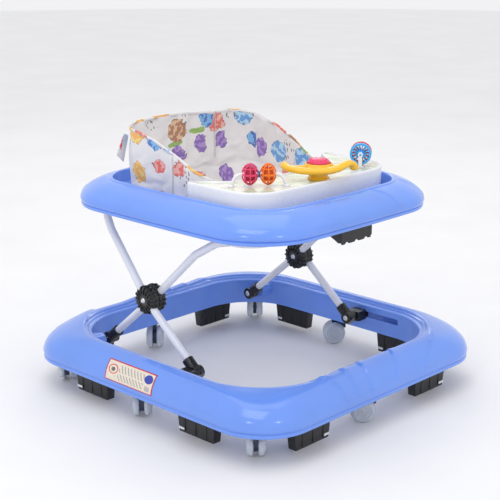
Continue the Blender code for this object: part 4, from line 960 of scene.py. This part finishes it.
side_dir = Vector((-u3.y, u3.x, 0))
for name, share, colour, body in (("bead_pink", 0.335, "pink", "pink_bead"), ("bead_orange", 0.665, "orange", "orange_bead")):
    c = ARCH_A + u3 * L * share + Vector((0, 0, ARCH_Z))
    m = Matrix.Translation(c)
    bm = bmesh.new()
    rz, rr = 0.0190, 0.0136

    def lemon(t, f=1.0):
        """(radius, height) at t from -1 to 1, pointed at both ends."""
        return rr * f * (1 - abs(t) ** 2.3) ** 0.62, rz * f * t

    # a dark inner body inside the cage, standing in for the shade seen through its holes
    bm_turn(bm, [(1e-5, -rz * 0.76)] + [lemon(t, 0.76) for t in np.linspace(-0.97, 0.97, 25)] + [(1e-5, rz * 0.76)], m, 32)
    link(name + "_inner_shade", to_mesh(bm, name + "_inner_shade"), body, M[colour + "_inner_shade"], (), 60)
    bm = bmesh.new()
    for q in range(8):
        a = 2 * math.pi * q / 8 + math.atan2(side_dir.y, side_dir.x)
        d = Vector((math.cos(a), math.sin(a), 0))
        pts = [c + d * lemon(t)[0] + Vector((0, 0, lemon(t)[1])) for t in np.linspace(-0.985, 0.985, 23)]
        bm_tube(bm, pts, 0.0012, 8)
    for t in (-0.55, 0.0, 0.55):
        r0, z0 = lemon(t, 0.985)
        w = 0.0018 if t == 0 else 0.0010
        bm_turn(bm, [(r0 - 0.0020, z0 - w), (r0 + 0.0006, z0 - w), (r0 + 0.0010, z0), (r0 + 0.0006, z0 + w), (r0 - 0.0020, z0 + w)], m, 40)
    for s in (-1, 1):
        bm_turn(bm, [(1e-5, s * rz * 1.0), (0.0020, s * rz * 0.985), (0.0034, s * rz * 0.93), (0.0036, s * rz * 0.86), (1e-5, s * rz * 0.80)][::s], m, 20)
    link(name + "_cage", to_mesh(bm, name), body, M[colour], (name,), 40)
c = ARCH_A + u3 * L * 0.5 + Vector((0, 0, ARCH_Z))
bm = bmesh.new()
bm_turn(bm, [(0.0034, -0.0014), (0.0050, -0.0014), (0.0056, -0.0007), (0.0056, 0.0007), (0.0050, 0.0014), (0.0034, 0.0014)], Matrix.Translation(c) @ u3.to_track_quat("Z", "Y").to_matrix().to_4x4(), 28)
link("arch_sleeve", to_mesh(bm, "sleeve"), "top", M["sleeve"], ("bead_spacer",), 40)

# steering wheel on its round column
WX, WY = 0.0, -0.160
bm = bmesh.new()
bm_turn(bm, [(1e-5, 0.0), (0.0203, 0.0), (0.0207, 0.0006), (0.0204, 0.0016), (0.0186, 0.0034), (0.0171, 0.0066), (0.0166, 0.0105), (0.0166, 0.0138), (0.0160, 0.0145), (0.0062, 0.0145), (0.0062, 0.0230), (1e-5, 0.0230)],
        Matrix.Translation((WX, WY, foot)), 48)
link("wheel_column", to_mesh(bm, "wheel_column"), "top", M["yellow"], ("steering_column",), 35)
hand, near = Vector((0.694, -0.720, 0)), Vector((-0.720, -0.694, 0))
c = Vector((WX, WY, foot + 0.0150))
bm = bmesh.new()
bm_turn(bm, [(0.0068, 0.0), (0.0185, 0.0), (0.0235, 0.0022), (0.0256, 0.0060), (0.0258, 0.0115), (0.0248, 0.0142), (0.0236, 0.0150), (0.0228, 0.0146), (0.0228, 0.0092), (0.0068, 0.0092)], Matrix.Translation(c), 64)
yoke = [(-0.0600, -0.0085, 0.0115), (-0.0620, 0.0010, 0.0095), (-0.0570, 0.0120, 0.0072), (-0.0440, 0.0215, 0.0056), (-0.0260, 0.0270, 0.0046), (-0.0050, 0.0290, 0.0042), (0.0160, 0.0275, 0.0048),
        (0.0330, 0.0205, 0.0075), (0.0450, 0.0090, 0.0110), (0.0545, -0.0010, 0.0128), (0.0620, -0.0065, 0.0100), (0.0655, -0.0085, 0.0030), (0.0662, -0.0088, -0.0010)]
pts = spline([c + hand * p + near * q + Vector((0, 0, h)) for p, q, h in yoke], 6)
n = len(pts)
rad = [0.0098 - 0.0020 * abs(2 * k / (n - 1) - 1) ** 2 if 2 < k < n - 3 else (0.0066 if k in (1, 2, n - 3, n - 2) else 0.0040) for k in range(n)]
bm_tube(bm, pts, rad, 20, squash=(Vector((0, 0, 1)), 0.66))
for p0, q0, p1, q1, r in ((-0.014, 0.010, -0.018, 0.0265, 0.0050), (0.014, 0.010, 0.019, 0.0255, 0.0050), (0.018, 0.004, 0.044, 0.0080, 0.0052), (-0.018, 0.006, -0.050, 0.0160, 0.0052), (0.0, 0.014, 0.0, 0.0285, 0.0050)):
    bm_tube(bm, densify([c + hand * p0 + near * q0 + Vector((0, 0, 0.0065)), c + hand * p1 + near * q1 + Vector((0, 0, 0.0070))], 0.004), r, 16)
mesh = to_mesh(bm, "wheel_rough")
wheel = link("yoke_wheel", mesh, "steering", M["yellow"], ("steering_wheel",), 0)
modified(wheel, ("REMESH", {"mode": "VOXEL", "voxel_size": 0.0009, "use_smooth_shade": True}), ("SMOOTH", {"factor": 0.5, "iterations": 4}), ("DECIMATE", {"ratio": 0.45}))
wheel.data.shade_smooth()
bm = bmesh.new()
bm_turn(bm, [(1e-5, -0.0002), (0.0203, -0.0002), (0.0208, 0.0006), (0.0206, 0.0022), (0.0196, 0.0036), (0.0190, 0.0038), (0.0186, 0.0046), (0.0150, 0.0064), (0.0100, 0.0078), (0.0050, 0.0085), (1e-5, 0.0087)], Matrix.Translation((WX, WY, foot + 0.0150 + 0.0110 + 0.0035)), 56)
for q in range(12):
    a = 2 * math.pi * q / 12
    p = Vector((WX, WY, foot + 0.0295)) + Vector((math.cos(a) * 0.0145, math.sin(a) * 0.0145, 0.0060))
    bm_turn(bm, [(1e-5, -0.0010), (0.0026, -0.0010), (0.0028, 0.0002), (0.0018, 0.0012), (1e-5, 0.0016)], Matrix.Translation(p), 16)
link("horn_dome", to_mesh(bm, "horn"), "horn", M["pink"], ("horn_button",), 35)

# roller: two spoked discs on one axle
axis = Vector((0.806, 0.592, 0)).normalized()
c = Vector((0.140, -0.145, 0.4620))
place = Matrix.Translation(c) @ axis.to_track_quat("Z", "Y").to_matrix().to_4x4()
for name, mid, colour in (("blue", -0.0076, "sky"), ("red", 0.0076, "red")):
    bm = bmesh.new()
    m = place @ Matrix.Translation((0, 0, mid))
    bm_turn(bm, [(0.0166, -0.0038), (0.0198, -0.0042), (0.0206, -0.0030), (0.0206, 0.0030), (0.0198, 0.0042), (0.0166, 0.0038)], m, 56)
    bm_turn(bm, [(0.0024, -0.0068), (0.0052, -0.0068), (0.0060, -0.0058), (0.0062, -0.0030), (0.0062, 0.0030), (0.0060, 0.0058), (0.0052, 0.0064), (0.0024, 0.0064)], m, 32)
    for q in range(14):
        mq = m @ Matrix.Rotation(2 * math.pi * q / 14, 4, "Z")
        bm_box(bm, (0.0055, -0.0009, -0.0036), (0.0172, 0.0009, 0.0036), mq, 0.0004)
    if name == "blue":
        bm_turn(bm, [(1e-5, -0.0124), (0.0016, -0.0124), (0.0020, -0.0120), (0.0020, 0.0272), (0.0016, 0.0276), (1e-5, 0.0276)], m, 20)
    link("roller_%s_spoked" % name, to_mesh(bm, "roller_" + name), "roller", M[colour], ("roller_disc_" + name,), 35)
bm = bmesh.new()
turn = Matrix.Translation((c.x, c.y, 0)) @ Matrix.Rotation(math.atan2(axis.y, axis.x), 4, "Z")
bm_box(bm, (-0.0190, -0.0055, foot), (0.0190, 0.0055, foot + 0.0030), turn, 0.0010)
for s in (-1, 1):
    lo, hi = sorted((s * 0.0153, s * 0.0187))
    pts = [turn @ Vector((s * 0.0170, 0, z)) for z in (foot + 0.001, foot + 0.010, 0.4600, 0.4650)]
    bm_tube(bm, densify(pts, 0.003), 0.0036, 20, squash=((turn.to_3x3() @ Vector((1, 0, 0))).normalized(), 0.45))
    bm_turn(bm, [(1e-5, -0.0017), (0.0044, -0.0017), (0.0048, -0.0012), (0.0048, 0.0012), (0.0044, 0.0017), (1e-5, 0.0017)], turn @ Matrix.Translation((s * 0.0170, 0, 0.4620)) @ Matrix.Rotation(math.pi / 2, 4, "Y"), 28)
link("roller_stand", to_mesh(bm, "roller_stand"), "top", M["white"], ("roller_bracket",), 35)

# ============================================================ the cloth seat
N_AROUND, R_LEG = 132, 0.044
LEFT_RIM = [(-0.08, 0.424), (-0.04, 0.436), (0.0, 0.454), (0.03, 0.470), (0.06, 0.481), (0.10, 0.496), (0.145, 0.507), (0.21, 0.512)]
RIGHT_RIM = [(-0.08, 0.424), (-0.02, 0.425), (0.02, 0.440), (0.05, 0.462), (0.10, 0.486), (0.15, 0.501), (0.21, 0.510)]
ROWS = [(0.166, -0.0775, 0.2000, 0.098, 0.046, None), (0.167, -0.0780, 0.2010, 0.098, 0.046, 0.66), (0.1655, -0.0780, 0.2010, 0.098, 0.047, 0.33),
        (0.1640, -0.0780, 0.2000, 0.098, 0.050, 0.415), (0.1620, -0.0775, 0.1985, 0.098, 0.052, 0.390), (0.1520, -0.0715, 0.1890, 0.095, 0.063, 0.356),
        (0.1250, -0.0520, 0.1660, 0.085, 0.068, 0.324), (0.0760, -0.0120, 0.1260, 0.056, 0.055, 0.307)]


def rim_height(x, y):
    def of(knots):
        if y <= knots[0][0]:
            return knots[0][1]
        for (a, za), (b, zb) in zip(knots, knots[1:]):
            if y <= b:
                return za + (zb - za) * smoothstep(a - (b - a) * 0.3, b + (b - a) * 0.3, y) if False else za + (zb - za) * (y - a) / (b - a)
        return knots[-1][1]
    w = smoothstep(-0.12, 0.12, x)
    crown = 0.0075 * smoothstep(0.15, 0.195, y) * max(0.0, 1 - ((x + 0.035) / 0.125) ** 2)
    return of(LEFT_RIM) * (1 - w) + of(RIGHT_RIM) * w + crown


def ring_at(row):
    hx, y0, y1, rf, rb = row[:5]
    pts = []
    corners = ((hx - rb, y1 - rb, 0, rb), (-hx + rb, y1 - rb, 90, rb), (-hx + rf, y0 + rf, 180, rf), (hx - rf, y0 + rf, 270, rf))
    for cx, cy, start, r in corners:
        for k in range(17):
            a = math.radians(start + 90 * k / 16)
            pts.append(Vector((cx + r * math.cos(a), cy + r * math.sin(a))))
    # even spacing
    total, lens = 0.0, [0.0]
    loop = pts + [pts[0]]
    for a, b in zip(loop, loop[1:]):
        total += (b - a).length
        lens.append(total)
    out, j = [], 0
    for k in range(N_AROUND):
        want = total * k / N_AROUND
        while lens[j + 1] < want:
            j += 1
        f = (want - lens[j]) / max(1e-9, lens[j + 1] - lens[j])
        out.append(loop[j].lerp(loop[j + 1], f))
    return out, total


plans = [ring_at(r) for r in ROWS]
columns = []
for k in range(N_AROUND):
    p0 = plans[0][0][k]
    top = rim_height(p0.x, p0.y)
    knots = []
    for row, (pl, _) in zip(ROWS, plans):
        q = pl[k]
        z = top if row[5] is None else (0.415 + (top - 0.415) * row[5] if row[5] in (0.66, 0.33) else row[5])
        knots.append(Vector((q.x, q.y, z)))
    columns.append(spline(knots, 5))
DEPTH = len(columns[0])
bm = bmesh.new()
uv = bm.loops.layers.uv.new("UVMap")
grid, vrow = [], []
for j in range(DEPTH):
    grid.append([bm.verts.new(columns[k][j]) for k in range(N_AROUND)])
run_v = [[0.0] for _ in range(N_AROUND)]
for k in range(N_AROUND):
    for j in range(1, DEPTH):
        run_v[k].append(run_v[k][-1] + (columns[k][j] - columns[k][j - 1]).length)
pitch = plans[0][1] / N_AROUND
top_uv = [0.515 - rim_height(columns[k][0].x, columns[k][0].y) for k in range(N_AROUND)]
for j in range(DEPTH - 1):
    for k in range(N_AROUND):
        q = (k + 1) % N_AROUND
        face = bm.faces.new((grid[j][k], grid[j + 1][k], grid[j + 1][q], grid[j][q]))
        for loop, (kk, jj, uu) in zip(face.loops, ((k, j, k), (k, j + 1, k), (q, j + 1, k + 1), (q, j, k + 1))):
            loop[uv].uv = (uu * pitch, top_uv[kk] + run_v[kk][jj])
# bottom: rings shrinking to the middle
centre = Vector((0, 0.057, 0.302))
last = grid[-1]
STEPS_IN = 9
prev = last
for t in range(1, STEPS_IN):
    f = t / STEPS_IN
    cur = [bm.verts.new(v.co.lerp(centre, f) + Vector((0, 0, 0.0))) for v in last]
    for k in range(N_AROUND):
        q = (k + 1) % N_AROUND
        face = bm.faces.new((prev[k], cur[k], cur[q], prev[q]))
        for loop in face.loops:
            loop[uv].uv = (loop.vert.co.x + 0.31, loop.vert.co.y + 0.43)
    prev = cur
mid = bm.verts.new(centre)
for k in range(N_AROUND):
    q = (k + 1) % N_AROUND
    face = bm.faces.new((prev[k], mid, prev[q]))
    for loop in face.loops:
        loop[uv].uv = (loop.vert.co.x + 0.31, loop.vert.co.y + 0.43)
# leg holes through the lower front
hems = []
for s in (-1, 1):
    a, b = Vector((s * 0.068, 0.020, 0.345)), Vector((s * 0.078, -0.125, 0.265))
    d = (b - a).normalized()

    def off(p):
        w = p - a
        return w - d * w.dot(d)

    gone = [f for f in bm.faces if off(f.calc_center_median()).length < R_LEG and (f.calc_center_median() - a).dot(d) > -0.01]
    bmesh.ops.delete(bm, geom=gone, context="FACES")
    rim = [v for v in bm.verts if v.is_boundary and off(v.co).length < R_LEG * 1.5 and (v.co - a).dot(d) > -0.02 and v.co.z < 0.41]
    for v in rim:
        o = off(v.co)
        v.co += o.normalized() * (R_LEG - o.length)
    hems.append(len(rim))
bmesh.ops.delete(bm, geom=[v for v in bm.verts if not v.link_faces], context="VERTS")
for f in bm.faces:
    f.normal_update()
mesh = bpy.data.meshes.new("seat_sling")
bm.to_mesh(mesh)
bm.free()
seat = link("seat_sling", mesh, "top", M["fabric"], ("fabric_seat",), 0)
for v in seat.data.vertices:
    p = v.co
    if p.y > 0.10 and p.z > 0.395 and p.x > 0.03:
        d = p.x - (0.084 + 0.10 * max(0.0, 0.515 - p.z))
        lift = smoothstep(0.395, 0.44, p.z)
        v.co += Vector((0.25, 0.95, 0)) * (0.0062 * smoothstep(-0.0015, 0.0025, d) * math.exp(-max(0.0, d) / 0.030) * lift)
        v.co += Vector((0, -1, 0)) * (0.0040 * math.exp(-(d / 0.012) ** 2) * (1 if d < 0 else 0) * lift)
rest = [v.co.copy() for v in seat.data.vertices]


def settle(obj):
    """Cloth pinned along the rim and where it passes the ring; slack taken up as creases between."""
    g = obj.vertex_groups.new(name="held")
    for v in obj.data.vertices:
        z = v.co.z
        top = rim_height(v.co.x, v.co.y)
        wall = math.hypot(v.co.x / 0.16, (v.co.y - 0.06) / 0.14) > 0.55
        w = 0.0
        if wall and top - z < 0.0035:
            w = 1.0
        elif 0.374 < z < 0.393:
            w = 0.85
        elif z > 0.393:
            w = 0.22
        elif z < 0.312:
            w = 0.35
        if w:
            g.add([v.index], w, "REPLACE")
    c = obj.modifiers.new("cloth", "CLOTH")
    st = c.settings
    st.quality = 5
    st.mass = 0.12
    st.tension_stiffness = st.compression_stiffness = 18
    st.shear_stiffness = 8
    st.bending_stiffness = 0.35
    st.vertex_group_mass = "held"
    st.pin_stiffness = 1.2
    st.shrink_min = -0.035
    st.effector_weights.gravity = 1.0
    c.collision_settings.use_collision = False
    c.collision_settings.use_self_collision = False
    scene.frame_start, scene.frame_end = 1, 24
    c.point_cache.frame_start, c.point_cache.frame_end = 1, 24
    for f in range(1, 25):
        scene.frame_set(f)
    bpy.context.view_layer.update()
    graph = bpy.context.evaluated_depsgraph_get()
    made = obj.evaluated_get(graph).to_mesh()
    moved = [v.co.copy() for v in made.vertices]
    obj.evaluated_get(graph).to_mesh_clear()
    obj.modifiers.remove(c)
    obj.vertex_groups.clear()
    scene.frame_set(1)
    for v, a, b in zip(obj.data.vertices, rest, moved):
        d = b - a
        if d.length > 0.009:
            d = d.normalized() * 0.009
        v.co = a + d
    obj.data.update()


for v in seat.data.vertices:
    p = v.co
    if 0.395 < p.z and rim_height(p.x, p.y) - p.z > 0.004 or p.z < 0.37:
        d = noise.noise(Vector((p.x * 21, p.y * 21, p.z * 9))) * 0.0022
        out_dir = Vector((p.x, p.y - 0.06, 0))
        if out_dir.length > 1e-4:
            v.co += out_dir.normalized() * d
settle(seat)
rim_line = [seat.data.vertices[k].co.copy() for k in range(N_AROUND)]
seat_points = np.array([v.co for v in seat.data.vertices])
for kind, st in (("SOLIDIFY", {"thickness": 0.0012, "offset": 0.0}), ("SUBSURF", {"levels": 1, "render_levels": 1})):
    m = seat.modifiers.new(kind.lower(), kind)
    for k, v in st.items():
        setattr(m, k, v)
seat.data.shade_smooth()

# bound rim: a folded edge, with a line of stitches just below it
bm = bmesh.new()
n = len(rim_line)
loops = []
for k in range(n):
    p, t = rim_line[k], (rim_line[(k + 1) % n] - rim_line[k - 1]).normalized()
    out_dir = Vector((p.x, p.y - 0.06, 0)).normalized()
    up = t.cross(out_dir).normalized()
    if up.z < 0:
        up = -up
    out_dir = up.cross(t).normalized()
    loop = []
    for q in range(10):
        a = 2 * math.pi * q / 10
        loop.append(p + up * (0.0030 * math.sin(a) - 0.0016) + out_dir * (0.00135 * math.cos(a)))
    loops.append(loop)
bm_loft(bm, loops, close=True)
uv = bm.loops.layers.uv.new("UVMap")
for f in bm.faces:
    for loop in f.loops:
        loop[uv].uv = (loop.vert.co.x + loop.vert.co.y, loop.vert.co.z)
hem = link("seat_hem", to_mesh(bm, "seat_hem"), "top", M["fabric"], (), 60)

thread = plastic("seat_thread", (0.62, 0.60, 0.60), 0.75, 0.08, 0.10, 0.15, 300, grain=0.3)
bm = bmesh.new()


def stitches(points, pitch=0.0042, length=0.0028, r=0.00032, lift=0.0009, way=None):
    """Short proud threads along a line."""
    pts = densify(points, 0.0008)
    run = 0.0
    i = 0
    while i < len(pts) - 5:
        a = pts[i]
        j = i
        while j < len(pts) - 1 and (pts[j] - a).length < length:
            j += 1
        b = pts[j]
        m = (a + b) / 2
        out_dir = way(m) if way else Vector((m.x, m.y - 0.06, 0)).normalized()
        for side in (1, -1):
            bm_tube(bm, [a + out_dir * side * (lift * 0.4), m + out_dir * side * lift, b + out_dir * side * (lift * 0.4)], r, 6)
        while j < len(pts) - 1 and (pts[j] - a).length < pitch:
            j += 1
        i = max(j, i + 1)


loop = rim_line + [rim_line[0]]
stitches([Vector((p.x, p.y, p.z - 0.0052)) for p in loop])


def column_near(x, y):
    k = min(range(N_AROUND), key=lambda q: (columns[q][0].x - x) ** 2 + (columns[q][0].y - y) ** 2)
    return [Vector(seat_points[j * N_AROUND + k]) for j in range(DEPTH)]


for x, y in ((0.086, 0.2), (-0.086, 0.2), (-0.166, 0.045), (0.166, 0.045)):
    line = [p for p in column_near(x, y) if p.z > 0.392]
    if len(line) > 2:
        for dx in (-0.0011, 0.0011):
            t = Vector((0, 1, 0)) if abs(x) > 0.15 else Vector((1, 0, 0))
            stitches([p + t * dx for p in line])
link("seat_stitching", to_mesh(bm, "seat_stitching"), "top", thread, (), 60)


# a loose facing flap behind the left wing, of the same cloth
def patch(name, corners, nu, nv, ripple, mat):
    a, b, c, d = (Vector(p) for p in corners)
    bm = bmesh.new()
    uvl = bm.loops.layers.uv.new("UVMap")
    g = []
    nrm = (b - a).cross(d - a).normalized()
    for j in range(nv + 1):
        row = []
        for i in range(nu + 1):
            u, v = i / nu, j / nv
            p = a.lerp(b, u).lerp(d.lerp(c, u), v)
            p = p + nrm * ripple * math.sin(math.pi * u) * (0.6 + 0.4 * math.sin(5 * v + 1)) * math.sin(math.pi * min(1, v + 0.15))
            row.append((bm.verts.new(p), u * (b - a).length, v * (d - a).length))
        g.append(row)
    for j in range(nv):
        for i in range(nu):
            quad = (g[j][i], g[j][i + 1], g[j + 1][i + 1], g[j + 1][i])
            f = bm.faces.new([q[0] for q in quad])
            for lp, q in zip(f.loops, quad):
                lp[uvl].uv = (q[1] + 0.2, q[2] + 0.6)
    o = link(name, to_mesh(bm, name), "top", mat, (), 0)
    m = o.modifiers.new("thick", "SOLIDIFY")
    m.thickness = 0.0010
    m.offset = 0
    s = o.modifiers.new("fine", "SUBSURF")
    s.levels = s.render_levels = 1
    o.data.shade_smooth()
    return o


flap = patch("seat_facing_left", ((-0.1830, 0.1930, 0.4580), (-0.1560, 0.2040, 0.4380), (-0.1420, 0.2030, 0.4900), (-0.1580, 0.1975, 0.4960)), 8, 8, 0.0022, M["fabric"])

# ============================================================ floor, light
def floor_material():
    k = Mat("floor_pale")
    n = k.noise(k.coords(), 3.0, 3.0)
    col = k.ramp(n.outputs["Fac"], ((0.3, (0.88, 0.88, 0.89)), (0.7, (0.92, 0.92, 0.925))))
    k.link(col, k.b.inputs["Base Color"])
    k.link(k.remap(n.outputs["Fac"], 0.3, 0.7, 0.62, 0.72), k.b.inputs["Roughness"])
    return k.m


bm = bmesh.new()
loops = []
for r, z in ((0.01, -0.0005), (1.2, -0.0005), (4.0, -0.0005), (9.0, -0.0005)):
    loops.append([(r * math.cos(2 * math.pi * k / 64), r * math.sin(2 * math.pi * k / 64), z) for k in range(64)])
bm_loft(bm, loops, cap_first=True)
for f in bm.faces:
    f.normal_update()
mesh = to_mesh(bm, "floor")
floor = bpy.data.objects.new("floor", mesh)
scene.collection.objects.link(floor)
mesh.materials.append(floor_material())

world = bpy.data.worlds.new("studio")
scene.world = world
world.use_nodes = True
world.node_tree.nodes["Background"].inputs["Color"].default_value = (0.985, 0.985, 1.0, 1)
world.node_tree.nodes["Background"].inputs["Strength"].default_value = 0.90


def area(name, place, target, size, power, colour=(1, 1, 1)):
    data = bpy.data.lights.new(name, "AREA")
    data.shape = "RECTANGLE"
    data.size, data.size_y = size
    data.energy = power
    data.color = colour
    o = bpy.data.objects.new(name, data)
    scene.collection.objects.link(o)
    o.location = place
    o.rotation_mode = "QUATERNION"
    o.rotation_quaternion = (Vector(target) - Vector(place)).to_track_quat("-Z", "Y")
    return o


area("key", (-1.2, -0.5, 2.5), (0, 0, 0.2), (1.3, 1.3), 11)
area("top", (0.3, 0.4, 2.8), (0, 0, 0.3), (1.8, 1.8), 9)
area("glint_left", (-2.5, -0.9, 1.55), (0, 0, 0.2), (0.28, 0.28), 2.2)
area("glint_right", (-0.9, -2.5, 1.55), (0, 0, 0.2), (0.28, 0.28), 2.2)
area("rim", (2.0, 1.8, 1.6), (0, 0, 0.3), (0.6, 0.8), 3)
scene.view_settings.view_transform = "Standard"
scene.view_settings.look = "None"
scene.view_settings.exposure = 0.0
